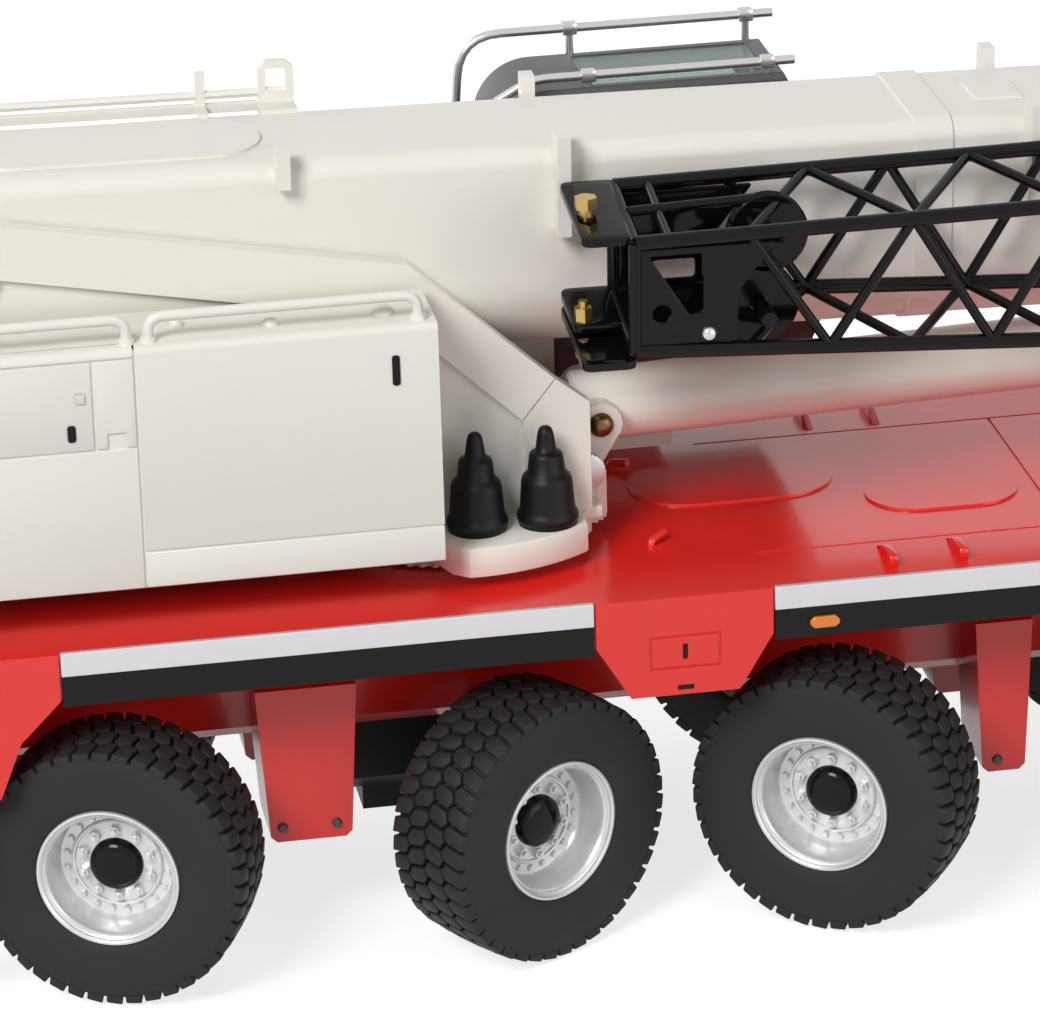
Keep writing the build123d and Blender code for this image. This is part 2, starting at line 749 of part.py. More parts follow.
# Driver's cab
def cab_outline(inset):
    i = inset
    return [
        (CAB_REAR + i, CAB_FLOOR + i), (CAB_REAR + i, CAB_ROOF - i), (CAB_BROW - i / 2, CAB_ROOF - i),
        (FRONT_END - i, CAB_WAIST), (FRONT_END - i, CAB_SILL + i),
        (CAB_ARCH_X + CAB_ARCH_RUN + i, CAB_SILL + i), (CAB_ARCH_X + i, CAB_FLOOR + i),
    ]


def windscreen(height_gap, side_gap, depth):
    foot, brow = Vector(FRONT_END, 0, CAB_WAIST), Vector(CAB_BROW, 0, CAB_ROOF)
    up = brow - foot
    plane = Plane((foot + brow) / 2, x_dir=(0, 1, 0), z_dir=Vector(0, 1, 0).cross(up))
    face = plane * Rectangle(2 * (CAB_HALF_W - side_gap), up.length - 2 * height_gap)
    return extrude(face, amount=depth / 2, both=True)


def cab_openings(depth, gap):
    top, low = CAB_ROOF - WINDOW_MARGIN - gap, CAB_WAIST + gap
    rear = CAB_REAR + DOOR_PILLAR + gap
    door = [
        (rear, low), (rear, top), (CAB_BROW - WINDOW_MARGIN - gap, top),
        (FRONT_END - WINDOW_MARGIN - CAB_WALL - gap, low),
    ]
    side = side_profile(door, around(CAB_HALF_W - CAB_WALL / 2, depth))
    reach = CAB_HALF_W - REAR_PANE_SIDE - gap
    back = block(around(CAB_REAR + CAB_WALL / 2, depth), (-reach, reach), (low + WINDOW_MARGIN, top))
    return [windscreen(SCREEN_MARGIN + gap, SCREEN_SIDE + gap, depth), back] + both_sides(side)


def carrier_cab():
    shell = side_profile(cab_outline(0), (-CAB_HALF_W, CAB_HALF_W))
    shell = fillet(shell.edges().filter_by(Axis.Y).group_by(Axis.Z)[-1], CAB_ROUND)
    shell -= side_profile(cab_outline(CAB_WALL), (-CAB_HALF_W + CAB_WALL, CAB_HALF_W - CAB_WALL))
    for opening in cab_openings(4 * CAB_WALL, 0):
        shell -= opening
    return shell


def carrier_cab_glass():
    return cab_openings(GLASS, GLASS_GAP)


def cab_seat(y, floor):
    x = CAB_REAR + SEAT_SET
    across = around(y, 2 * SEAT_HALF_W)
    top = floor + SEAT_BACK_H
    back = [(x, floor), (x + SEAT_BACK_L, floor), (x + SEAT_BACK_L - CAB_WALL, top), (x - CAB_WALL, top)]
    cushion = block((x, x + SEAT_L), across, (floor, floor + SEAT_H))
    cushion = chamfer(cushion.edges().filter_by(Axis.Y).group_by(Axis.Z)[-1], CAB_WALL)
    return cushion + side_profile(back, across)


def carrier_cab_interior():
    floor = CAB_FLOOR + CAB_WALL
    inside = CAB_HALF_W - 2 * CAB_WALL
    seats = [cab_seat(y, floor) for y in (-SEAT_Y, SEAT_Y)]
    front = FRONT_END - SEAT_SET
    rear = front - DASH_L
    top = floor + DASH_H
    outline = [(rear, floor), (rear, top), (front, top + CAB_WALL), (front, floor)]
    dash = side_profile(outline, (-inside, inside))
    column_foot = Vector(rear + COLUMN_L / 2, SEAT_Y, top - CAB_WALL)
    hub = column_foot + Vector(-COLUMN_L, 0, COLUMN_L)
    plane = Plane(hub, z_dir=hub - column_foot)
    wheel = extrude(plane * RegularPolygon(WHEEL_RING_R, PIN_FLAT_COUNT), amount=WHEEL_RING_W)
    wheel -= extrude(plane * RegularPolygon(WHEEL_RING_R - WHEEL_RING_W, PIN_FLAT_COUNT), amount=WHEEL_RING_W)
    spoke = extrude(plane * Rectangle(WHEEL_RING_W, 2 * WHEEL_RING_R - WHEEL_RING_W), amount=WHEEL_RING_W)
    column = rod(column_foot, hub, WHEEL_RING_W, BAR_FLAT_COUNT)
    return seats + [dash + column + spoke + wheel]


def headlamp_z():
    return (CAB_SILL - HEADLAMP_DROP - HEADLAMP_H, CAB_SILL - HEADLAMP_DROP)


def front_bumper():
    x0, x1 = FRONT_END - BUMPER_DEPTH, FRONT_END + BUMPER_OUT
    top = CAB_SILL - STUB_END_GAP
    outline = [
        (x0, top), (x1, top), (x1, BUMPER_BOTTOM + BUMPER_OUT), (FRONT_END, BUMPER_BOTTOM),
        (x0, BUMPER_BOTTOM + BUMPER_OUT),
    ]
    bumper = side_profile(outline, (-CAB_HALF_W, CAB_HALF_W))
    low, high = headlamp_z()
    pocket = block(
        (FRONT_END, x1), around(HEADLAMP_Y, 2 * (HEADLAMP_HALF_W + LAMP_SEAT_GAP)),
        (low - LAMP_SEAT_GAP, high + LAMP_SEAT_GAP),
    )
    for half in both_sides(pocket):
        bumper -= half
    return bumper


def headlamps():
    x = (FRONT_END, FRONT_END + BUMPER_OUT - LAMP_SEAT_GAP)
    lamp = block(x, around(HEADLAMP_Y, 2 * HEADLAMP_HALF_W), headlamp_z())
    return both_sides(chamfer(lamp.edges().filter_by(Axis.X), LAMP_CHAMFER))


def cab_mirrors():
    x, z = CAB_BROW, CAB_ROOF - MIRROR_DROP
    outer = CAB_HALF_W + MIRROR_REACH
    top = z + CAB_WALL
    arm = cross_rod(x, z, (CAB_HALF_W, outer - CAB_WALL), MIRROR_ARM_R, BAR_FLAT_COUNT)
    head = block(around(x, MIRROR_T), (outer - MIRROR_W, outer), (top - MIRROR_H, top))
    return both_sides(arm + chamfer(head.edges().filter_by(Axis.X), LAMP_CHAMFER))


# Superstructure
def toothed(centre, radius, teeth, z):
    points = []
    for i in range(2 * teeth):
        reach = radius if i % 2 else radius - TOOTH_DEPTH
        angle = radians(180 * i / teeth)
        points.append((centre[0] + reach * cos(angle), centre[1] + reach * sin(angle)))
    return plan_profile(points, z)


def slew_ring():
    return toothed((0, 0), RING_R, RING_TEETH, (DECK_TOP + RING_GAP, PLATFORM_Z[0]))


def slew_drive():
    return toothed(DRIVE_X_Y, DRIVE_R, DRIVE_TEETH, (PLATFORM_Z[0], DRIVE_TOP))


def cheek_outline():
    x, z = LUFF_PIVOT
    return [
        (CHEEK_FRONT[0], PLATFORM_Z[1]), CHEEK_FRONT, CHEEK_SHOULDER, CHEEK_CREST, CHEEK_REAR_CREST,
        (x - BOSS_R, z + BOSS_R), (x - 2 * BOSS_R, z), (x - 2 * BOSS_R, z - 2 * BOSS_R),
        (PLATFORM_REAR + BOSS_R, PLATFORM_Z[1]),
    ]


def cheek_recess():
    return [
        (BAND_FRONT_X, PLATFORM_Z[1]), BAND_KNEE, BAND_BEND, BAND_REAR, BAND_TAIL,
        (BAND_TAIL[0], PLATFORM_Z[1]),
    ]


def cheek_seam(outer):
    (x0, z0), (x1, z1) = BAND_KNEE, CHEEK_SHOULDER
    half = SEAM / 2
    outline = [(x0 - SEAM, z0 - half), (x0 - half, z0 - SEAM), (x1 + SEAM, z1 + half), (x1 + half, z1 + SEAM)]
    return side_profile(outline, (outer - SEAM, outer))


def cheek():
    outer = CHEEK_OUT + CHEEK_BAND
    plate = side_profile(cheek_outline(), (CHEEK_IN, outer))
    plate -= side_profile(cheek_recess(), (CHEEK_OUT, outer))
    plate -= cheek_seam(outer)
    x, z = LUFF_PIVOT
    drum_x, drum_z = DRUM_X_Z
    plate -= cross_rod(x, z, (CHEEK_IN, outer), LUFF_PIN_R + PIN_GAP)
    return plate - cross_rod(drum_x, drum_z, (CHEEK_IN, outer), DRUM_SHAFT_R + PIN_GAP, PIN_FLAT_COUNT)


def platform():
    half, lip, sill = PLATFORM_HALF_W, PLATFORM_LIP_Y, PLATFORM_SILL_Y
    front, tip = PLATFORM_FRONT, CHEEK_IN
    plan = [
        (PLATFORM_REAR, -sill), (CABINET_X[1], -sill), (CABINET_X[1] + PLATFORM_LIP_RUN, -lip),
        (front - PLATFORM_ROUND, -lip), (front, -tip), (front, tip), (OP_REAR, OP_Y[0]),
        (OP_REAR, half), (PLATFORM_REAR, half),
    ]
    floor = plan_profile(plan, PLATFORM_Z)
    corner = (front - PLATFORM_ROUND, -lip, PLATFORM_Z[1])
    return fillet(floor.edges().filter_by(Axis.Z).sort_by_distance(corner)[:1], PLATFORM_ROUND)


def luff_base_ear():
    x, z = LUFF_BASE
    y = (BARREL_R + EAR_GAP, BARREL_R + EAR_GAP + EAR_W)
    side = BASE_EAR_R / sqrt(2)
    arm = [
        (x - BASE_EAR_BACK, PLATFORM_Z[0]), (x - BASE_EAR_SET, PLATFORM_Z[0]), (x + side, z - side),
        (x - side, z + side),
    ]
    return cross_rod(x, z, y, BASE_EAR_R, HUB_FLAT_COUNT) + side_profile(arm, y)


def turntable():
    shape = platform() + slew_ring() + slew_drive()
    for plate in both_sides(cheek()):
        shape += plate
    shape += block((OP_REAR, OP_STEP_FRONT), (OP_Y[0], OP_Y[1] - OP_FRAME), PLATFORM_Z)
    for part in op_hinge_ears() + both_sides(luff_base_ear()):
        shape += part
    x, z = LUFF_BASE
    reach = BARREL_R + EAR_GAP + EAR_W
    return shape - cross_rod(x, z, (-reach, reach), EYE_PIN_R + PIN_GAP, PIN_FLAT_COUNT)


def op_hinge():
    return OP_REAR + OP_HINGE[0], PLATFORM_Z[1] + OP_HINGE[1]


def op_hinge_ears():
    x, z = op_hinge()
    ears = []
    for y in (OP_Y[0] + OP_EAR_INSET[0], OP_Y[1] - OP_EAR_INSET[1] - OP_EAR_W):
        across = (y, y + OP_EAR_W)
        ear = cross_rod(x, z, across, OP_HINGE_R, PIN_FLAT_COUNT)
        ear += block(around(x, 2 * OP_HINGE_R), across, (PLATFORM_Z[0], z))
        ears.append(ear - cross_rod(x, z, across, OP_HINGE_PIN_R + PIN_GAP, PIN_FLAT_COUNT))
    return ears


def machinery_cabinet():
    (x0, x1), (z0, z1) = CABINET_X, CABINET_Z
    face = -CABINET_Y[1]
    skin = (face, face + PANEL_DEPTH)
    body = block((x0, x1), (face, -CABINET_Y[0]), (z0, z1))
    body = fillet(body.edges().filter_by(Axis.X).group_by(Axis.Z)[-1].sort_by(Axis.Y)[:1], CABINET_ROUND)
    body -= block(around(CABINET_SPLIT, PANEL_GROOVE), skin, (z0, z1))
    body -= block((CABINET_SPLIT, x1), skin, around(z0 + SILL_Z, PANEL_GROOVE))
    body -= block((x0, CABINET_SPLIT), skin, around(z0 + DOOR_SPLIT_Z, PANEL_GROOVE))
    x = around(CABINET_SPLIT - DOOR_SPLIT_X, PANEL_GROOVE)
    return body - block(x, skin, (z0 + DOOR_SPLIT_Z, z1 - 2 * CABINET_ROUND))


def side_tank():
    body = block((CABINET_X[0], TANK_FRONT), CABINET_Y, (CABINET_Z[0], TANK_TOP))
    return fillet(body.edges().filter_by(Axis.X).group_by(Axis.Z)[-1].sort_by(Axis.Y)[-1:], TANK_ROUND)


def hand_rail(x, y, z, height):
    points = [(x[0], y, z), (x[0], y, z + height), (x[1], y, z + height), (x[1], y, z)]
    return bent_bar(points, RAIL_BEND, RAIL_R, BAR_FLAT_COUNT)


def hand_rails():
    x0, x1 = CABINET_X
    y = RAIL_INSET - CABINET_Y[1]
    z = CABINET_Z[1]
    tank_x = (x0 + 2 * RAIL_INSET, TANK_FRONT - 2 * RAIL_INSET)
    return [
        hand_rail((x0 + RAIL_INSET, CABINET_SPLIT - RAIL_R), y, z, RAIL_H),
        hand_rail((CABINET_SPLIT + RAIL_INSET, x1 - RAIL_INSET), y, z, RAIL_H),
        hand_rail(tank_x, CABINET_Y[1] - 2 * RAIL_INSET, TANK_TOP, TANK_RAIL_H),
    ]


def stowage_cone(x, y):
    z = PLATFORM_Z[1]
    steps = []
    for radius, height in CONE_STEPS:
        low = Plane((x, y, z)) * RegularPolygon(radius, CONE_FLAT_COUNT)
        high = Plane((x, y, z + height)) * RegularPolygon(radius * CONE_TAPER, CONE_FLAT_COUNT)
        steps.append(loft([low, high]))
        z += height
    return added(steps)


def counterweight():
    x, y = (-TAIL_RADIUS, PLATFORM_REAR), (-WEIGHT_HALF_W, WEIGHT_HALF_W)
    z0, z1 = WEIGHT_Z
    weight = block(x, y, WEIGHT_Z) & rod((0, 0, z0), (0, 0, z1), TAIL_RADIUS)
    for level in (z0 + WEIGHT_SLAB, z0 + 2 * WEIGHT_SLAB):
        slot = block((x[0], x[1] - BOSS_R), y, around(level, WEIGHT_GROOVE))
        weight -= slot - rod((0, 0, z0), (0, 0, z1), TAIL_RADIUS - WEIGHT_GROOVE)
    return weight


def hoist_drum():
    x, z = DRUM_X_Z
    drum = cross_rod(x, z, (-DRUM_HALF_L, DRUM_HALF_L), DRUM_R, RIM_FLAT_COUNT)
    for y in (-DRUM_HALF_L, DRUM_HALF_L - DRUM_FLANGE_W):
        drum += cross_rod(x, z, (y, y + DRUM_FLANGE_W), DRUM_FLANGE_R, RIM_FLAT_COUNT)
    reach = CHEEK_OUT
    return drum + cross_rod(x, z, (-reach, reach), DRUM_SHAFT_R, PIN_FLAT_COUNT)


# Crane operator's cab
def op_shell(inset):
    i = inset
    roof = OP_ROOF - i
    outline = [
        (OP_REAR + i, OP_FLOOR + i), (OP_REAR + i, roof), (OP_FRONT - OP_BROW_RUN - i, roof),
        (OP_FRONT - i, OP_ROOF - OP_BROW_DROP), (OP_FRONT - i, OP_FLOOR + OP_CHIN_RISE),
        (OP_FRONT - OP_CHIN_RUN - i, OP_FLOOR + i),
    ]
    shell = side_profile(outline, (OP_Y[0] + i, OP_Y[1] - i))
    crown = shell.edges().filter_by(Axis.Y).sort_by_distance((OP_REAR, 0, OP_ROOF))[:1]
    return fillet(crown, OP_CROWN - i)


def op_panes(depth, gap):
    frame = OP_FRAME + gap
    near, far = OP_Y[0] + frame, OP_Y[1] - frame
    roof = block(
        (OP_REAR + OP_ROOF_PILLAR + gap, OP_FRONT - OP_BROW_RUN - frame), (near, far),
        around(OP_ROOF - OP_WALL / 2, depth),
    )
    low, high = OP_FLOOR + OP_CHIN_RISE + gap, OP_ROOF - OP_BROW_DROP - gap
    front = block(around(OP_FRONT - OP_WALL / 2, depth), (near, far), (low, high))
    rear = OP_REAR + OP_DOOR_PILLAR + gap
    top = OP_ROOF - 2 * OP_FRAME - gap
    window = [
        (rear, low), (rear, top), (OP_FRONT - OP_BROW_RUN - 2 * OP_FRAME - gap, top),
        (OP_FRONT - 2 * OP_FRAME - gap, high), (OP_FRONT - 2 * OP_FRAME - gap, low),
    ]
    sides = [side_profile(window, around(y, depth)) for y in (OP_Y[0] + OP_WALL / 2, OP_Y[1] - OP_WALL / 2)]
    return [roof, front] + sides


def upper_cab():
    shell = op_shell(0)
    shell = fillet(shell.edges().filter_by(Axis.X).group_by(Axis.Z)[-1], OP_ROUND)
    shell -= op_shell(OP_WALL)
    for pane in op_panes(4 * OP_WALL, 0):
        shell -= pane
    x, z = op_hinge()
    ends = (OP_Y[0] + OP_EAR_INSET[0], OP_Y[1] - OP_EAR_INSET[1])
    inner = (ends[0] + OP_EAR_W + OP_EAR_GAP, ends[1] - OP_EAR_W - OP_EAR_GAP)
    shell += cross_rod(x, z, inner, OP_HINGE_R, PIN_FLAT_COUNT)
    shell += block((x, OP_REAR), inner, around(z, OP_EAR_W))
    return shell + cross_rod(x, z, ends, OP_HINGE_PIN_R, PIN_FLAT_COUNT)


def upper_cab_seat():
    floor = OP_FLOOR + OP_WALL
    y = around((OP_Y[0] + OP_Y[1]) / 2, 2 * OP_SEAT_HALF_W)
    x = OP_REAR + OP_SEAT_L
    seat = block((x, x + OP_SEAT_L), y, (floor, floor + OP_SEAT_H))
    top = floor + OP_BACK_H
    root = x + OP_BACK_L
    back = side_profile([(x, floor), (root, floor), (x + OP_WALL, top), (x - OP_FRAME, top)], y)
    sides = (y[0] - OP_FRAME, y[1] + OP_FRAME)
    arms = block((root, x + OP_SEAT_L + OP_FRAME), sides, (floor, floor + OP_CONSOLE_H))
    return seat + back + arms


def roof_rail(y, z, start, bend_x, bend):
    points = [(start[0], y, start[1]), (bend_x, y, z), (ROOF_RAIL_END, y, z)]
    rail = bent_bar(points, bend, RAIL_R, BAR_FLAT_COUNT)
    for x in (OP_REAR + OP_ROOF_PILLAR, OP_FRONT - OP_BROW_RUN - OP_FRAME):
        rail += rod((x, y, OP_ROOF), (x, y, z), RAIL_R, BAR_FLAT_COUNT)
    return rail


def cab_rails():
    near = roof_rail(NEAR_RAIL_Y, NEAR_RAIL_Z, NEAR_RAIL_START, NEAR_RAIL_BEND_X, RAIL_BEND)
    far = roof_rail(FAR_RAIL_Y, FAR_RAIL_Z, FAR_RAIL_START, FAR_RAIL_BEND_X, ROOF_RAIL_BEND)
    x, z = FAR_RAIL_START[0], FAR_RAIL_START[1] + RAIL_R
    far += rod((x, FAR_RAIL_Y, z), (OP_REAR, FAR_RAIL_Y, z), RAIL_R, BAR_FLAT_COUNT)
    return [near, far]


# Boom sections share one rounded outline, drawn smaller for each inner section
def on_boom(shape):
    x, z = LUFF_PIVOT
    return Pos(x, 0, z) * Rot(0, BOOM_REST_DROP, 0) * Pos(-x, 0, -z) * shape


def boom_point(x, z):
    px, pz = LUFF_PIVOT
    turn = radians(BOOM_REST_DROP)
    dx, dz = x - px, z - pz
    return px + dx * cos(turn) + dz * sin(turn), pz - dx * sin(turn) + dz * cos(turn)


def boom_face(inset, x):
    half = BOOM_HALF_W - inset
    height = BOOM_UPPER_H - inset
    plane = Plane((x, 0, BOOM_CENTRE), x_dir=(0, 1, 0), z_dir=(1, 0, 0))
    upper = Pos(0, height / 2) * Rectangle(2 * half, height)
    upper = fillet(upper.vertices().group_by(Axis.Y)[-1], BOOM_CORNER - inset * CORNER_SHRINK)
    return plane * (upper + Circle(half))


def boom_run(inset, x0, x1):
    return extrude(boom_face(inset, x0), amount=x1 - x0)


def tube(inset, wall, x0, x1):
    return boom_run(inset, x0, x1) - boom_run(inset + wall, x0, x1)


def section_inset(number):
    if number == 1:
        return 0.0
    return BOOM_WALL + SECTION_GAP + (number - 2) * (SECTION_WALL + SECTION_GAP)


def section_front(number):
    return BOOM_FRONT + (number - 1) * SECTION_STEP


def fin(x, height, out):
    inner = BOOM_HALF_W - BOOM_WALL / 2
    top = BOOM_TOP + FIN_RISE
    return block(around(x, FIN_T), (inner, BOOM_HALF_W + out), (top - height, top))


def boom_fins():
    fins = []
    for x in FIN_X:
        fins += [mirrored(fin(x, FIN_H, FIN_OUT_RIGHT)), fin(x, FIN_H / 2, FIN_OUT_LEFT)]
    return fins + [mirrored(fin(REAR_FIN_X, REAR_FIN_H, FIN_OUT_LEFT))]


def top_emboss():
    x0, x1 = TOP_PLATE_X
    plane = Plane.XY.offset(BOOM_TOP)
    plate = extrude(plane * Pos((x0 + x1) / 2, 0) * SlotOverall(x1 - x0, TOP_PLATE_W), amount=HATCH_RAISE)
    hatch = extrude(plane * Pos(TOP_HATCH_X, 0) * Rectangle(TOP_HATCH_L, TOP_HATCH_W), amount=HATCH_RAISE)
    x = around(TOP_BAND_X, TOP_BAND_W)
    band = boom_run(-HATCH_RAISE, x[0], x[1]) - boom_run(0.0, x[0], x[1])
    return [plate, hatch, band]


def guard_rail():
    x0, x1 = GUARD_X
    z = BOOM_TOP + GUARD_RISE
    thick = around(GUARD_Y, 2 * RAIL_R)
    to_boom = (BOOM_HALF_W - BOOM_CORNER, GUARD_Y)
    foot = around(BOOM_TOP, GUARD_BAR_H)
    rail = rod((x0, GUARD_Y, z), (x1, GUARD_Y, z), RAIL_R, BAR_FLAT_COUNT)
    rail += block((x0, x1), thick, foot)
    for post in (around(x0 + RAIL_R, 2 * RAIL_R), around(GUARD_POST_X, 2 * RAIL_R)):
        rail += block(post, thick, (BOOM_TOP, BOOM_TOP + GUARD_POST_H))
        rail += block(post, to_boom, foot)
    a, b = x1 - GUARD_LOOP_L, x1
    low, high = BOOM_TOP - GUARD_BAR_H, BOOM_TOP + GUARD_LOOP_H
    wall = GUARD_LOOP_WALL
    loop = block((a, b), thick, (low, high))
    loop = chamfer(loop.edges().filter_by(Axis.Y).group_by(Axis.Z)[-1], wall)
    loop -= block((a + wall, b - wall), thick, (BOOM_TOP + 2 * wall, high - wall))
    return rail + loop + block((a, b), to_boom, foot)


def luff_eye():
    return LUFF_EYE_X, BOOM_BOTTOM - LUFF_EYE_DROP


def boom_base():
    x, z = LUFF_PIVOT
    shape = tube(0.0, BOOM_WALL, BOOM_FOOT_X, BOOM_FRONT)
    foot = [
        (BOOM_FOOT_X, BOOM_TOP), (x, z + 2 * BOSS_R), (x - BOSS_R, z + BOSS_R), (x - BOSS_R, z - BOSS_R / 2),
        (x, z - BOSS_R), (BOOM_FOOT_X, BOOM_BOTTOM),
    ]
    shape += side_profile(foot, (-BOOM_HALF_W, BOOM_HALF_W)) & boom_run(0.0, x - 2 * BOSS_R, BOOM_FOOT_X)
    reach = CHEEK_OUT + BOSS_OUT
    shape += cross_rod(x, z, (-reach, reach), LUFF_PIN_R)
    for part in boom_fins() + top_emboss() + [guard_rail()]:
        shape += part - boom_run(BOOM_WALL / 2, BOOM_FOOT_X, BOOM_FRONT)
    ex, ez = luff_eye()
    y = (EYE_W / 2 + EAR_GAP, EYE_W / 2 + EAR_GAP + EAR_W)
    root = BOOM_CENTRE - BOOM_HALF_W / 2
    tip = ez - EYE_R
    outline = [(ex - EAR_ROOT, root), (ex + EAR_ROOT, root), (ex + EAR_TIP, tip), (ex - EAR_TIP, tip)]
    ear = side_profile(outline, y)
    for half in both_sides(ear):
        shape += half - boom_run(BOOM_WALL / 2, ex - EAR_ROOT, ex + EAR_ROOT)
    return shape + cross_rod(ex, ez, (-y[1], y[1]), EYE_PIN_R, PIN_FLAT_COUNT)


def boom_section(number):
    inset = section_inset(number)
    x0 = BOOM_FOOT_X + SECTION_TAIL + SECTION_TAIL_STEP * number
    x1 = section_front(number)
    shape = tube(inset, SECTION_WALL, x0, x1)
    return shape + boom_head(inset, x1) if number == SECTION_COUNT else shape


def head_tip():
    x, z = LUFF_PIVOT
    turn = radians(BOOM_REST_DROP)
    rise = BOOM_TOP - section_inset(SECTION_COUNT) - HEAD_TOP_DROP - z
    return x + (HEAD_REACH - x - rise * sin(turn)) / cos(turn)


def boom_head(inset, x1):
    half = BOOM_HALF_W - inset
    top = BOOM_TOP - inset
    tip = head_tip()
    low_x, low_z = tip - HEAD_PIN_BACK, BOOM_BOTTOM - HEAD_PIN_DROP
    high_x, high_z = tip - HEAD_TOP_BACK, top - HEAD_TOP_DROP
    root = x1 - SECTION_STEP
    plate = [
        (root, top - SECTION_WALL), (tip - 2 * HEAD_PLATE, top - HEAD_PLATE), (tip, high_z),
        (low_x + EAR_TIP, low_z - EAR_TIP), (low_x - EAR_TIP, low_z - EAR_TIP),
        (root, BOOM_BOTTOM + inset + SECTION_WALL),
    ]
    head = added(both_sides(side_profile(plate, (half - HEAD_PLATE, half))))
    for x, z, radius in ((low_x, low_z, HEAD_SHEAVE_R), (high_x, high_z, HEAD_SHEAVE_R - SECTION_WALL)):
        head += cross_rod(x, z, (-half, half), HEAD_SHAFT_R, PIN_FLAT_COUNT)
        for y in (-half / 2, 0.0, half / 2):
            head += cross_rod(x, z, around(y, HEAD_SHEAVE_W), radius, HEAD_SHEAVE_FLAT_COUNT)
    return head + block((x1 - HEAD_PLATE, x1), (-half, half), (BOOM_CENTRE - half / 2, top - SECTION_WALL))


# Lattice jib, its far side set higher than the near one
def along_jib(values, x):
    (x0, x1, x2), (a, b, c) = JIB_X, values
    return a + (b - a) * (x - x0) / (x1 - x0) if x < x1 else b + (c - b) * (x - x1) / (x2 - x1)


def jib_z(x, y, up):
    shift = JIB_FAR_SHIFT if y == JIB_FAR_Y else 0.0
    return BOOM_CENTRE + along_jib(JIB_RISE, x) + up * along_jib(JIB_HALF_H, x) + shift


def jib_corner(x, y, up):
    return (x, y, jib_z(x, y, up))


def jib_stations():
    first, last = JIB_X[0] + JIB_LACE_START, JIB_X[2] - JIB_LACE_END
    return [first + (last - first) * i / (2 * JIB_BAY_COUNT) for i in range(2 * JIB_BAY_COUNT + 1)]


def jib_laces():
    laces = []
    stations = jib_stations()
    for i, (a, b) in enumerate(zip(stations[:-1], stations[1:])):
        up = 1 if i % 2 == 0 else -1
        for y in (JIB_NEAR_Y, JIB_FAR_Y):
            laces.append((jib_corner(a, y, up), jib_corner(b, y, -up)))
        ends = (JIB_NEAR_Y, JIB_FAR_Y) if i % 2 == 0 else (JIB_FAR_Y, JIB_NEAR_Y)
        for level in (1, -1):
            laces.append((jib_corner(a, ends[0], level), jib_corner(b, ends[1], level)))
    return [rod(a, b, JIB_LACE_R, LACE_FLAT_COUNT) for a, b in laces]


def jib_chords():
    x0, x1, x2 = JIB_X
    chords = []
    for y in (JIB_NEAR_Y, JIB_FAR_Y):
        for up in (1, -1):
            start = Plane(jib_corner(x0, y, up), z_dir=(1, 0, 0))
            outline = start * RegularPolygon(JIB_CHORD_R, BAR_FLAT_COUNT)
            path = Polyline(*[jib_corner(x, y, up) for x in (x0, x1, x2)])
            chords.append(sweep(outline, path=path, transition=Transition.RIGHT))
    return chords


def jib_end_plate(y):
    x0 = JIB_X[0]
    top, low = jib_z(x0, y, 1), jib_z(x0, y, -1)
    middle = (top + low) / 2
    outline = [
        (x0, low), (x0, top), (x0 + JIB_PLATE_TOP_L, top), (x0 + JIB_PLATE_L, middle),
        (x0 + JIB_PLATE_L, low),
    ]
    across = around(y, JIB_PLATE)
    plate = side_profile(outline, across)
    plate -= side_profile([(x0 + x, top - z) for x, z in JIB_WINDOW], across)
    return plate - cross_rod(x0 + JIB_HOLE[0], top - JIB_HOLE[1], across, JIB_HOLE_R, PIN_FLAT_COUNT)


def jib_slope(level, y, x, thickness):
    near, far = jib_z(JIB_X[0], JIB_NEAR_Y, level), jib_z(JIB_X[0], JIB_FAR_Y, level)
    rise = (far - near) / (JIB_FAR_Y - JIB_NEAR_Y)
    half = thickness / 2
    z = [near + rise * (at - JIB_NEAR_Y) for at in y]
    outline = [(y[0], z[0] - half), (y[1], z[1] - half), (y[1], z[1] + half), (y[0], z[0] + half)]
    face = Plane((x[0], 0, 0), x_dir=(0, 1, 0), z_dir=(1, 0, 0))
    return extrude(face * make_face(Polyline(*outline, close=True)), x[1] - x[0])


def jib_lug(level):
    x0 = JIB_X[0]
    y = (JIB_NEAR_Y + JIB_LUG_SET, -BOOM_HALF_W - FIN_OUT_RIGHT)
    plate = jib_slope(level, y, (x0 - JIB_LUG_REACH, x0), JIB_LUG)
    tip = plate.edges().filter_by(Axis.Z).group_by(Axis.X)[0]
    return fillet(tip.group_by(Axis.Y)[0], JIB_LUG_ROUND)


def jib_sheave():
    x, y = JIB_X[0] + JIB_SHEAVE_X, (JIB_NEAR_Y + JIB_FAR_Y) / 2
    z = jib_z(x, JIB_NEAR_Y, 1) - JIB_SHEAVE_DROP - JIB_SHEAVE_R / 2
    wheel = cross_rod(x, z, around(y, JIB_SHEAVE_W), JIB_SHEAVE_R, JIB_SHEAVE_FLAT_COUNT)
    return wheel + cross_rod(x, z, (JIB_NEAR_Y, JIB_FAR_Y), JIB_LACE_R, BAR_FLAT_COUNT)


def lattice_jib():
    x0 = JIB_X[0]
    parts = jib_chords() + jib_laces() + [jib_end_plate(y) for y in (JIB_NEAR_Y, JIB_FAR_Y)]
    for level in (1, -1):
        parts.append(jib_lug(level))
        parts.append(jib_slope(level, (JIB_NEAR_Y, JIB_FAR_Y), around(x0, JIB_LUG), 2 * JIB_LUG))
    return added(parts + [jib_sheave()])


# Luffing cylinder, drawn along +X from its base pin and turned into place
def luff_run():
    x, z = boom_point(*luff_eye())
    return Vector(x - LUFF_BASE[0], 0, z - LUFF_BASE[1])


def on_cylinder(shape):
    run = luff_run()
    return Plane((LUFF_BASE[0], 0, LUFF_BASE[1]), x_dir=run, z_dir=Vector(0, 1, 0).cross(run) * -1) * shape


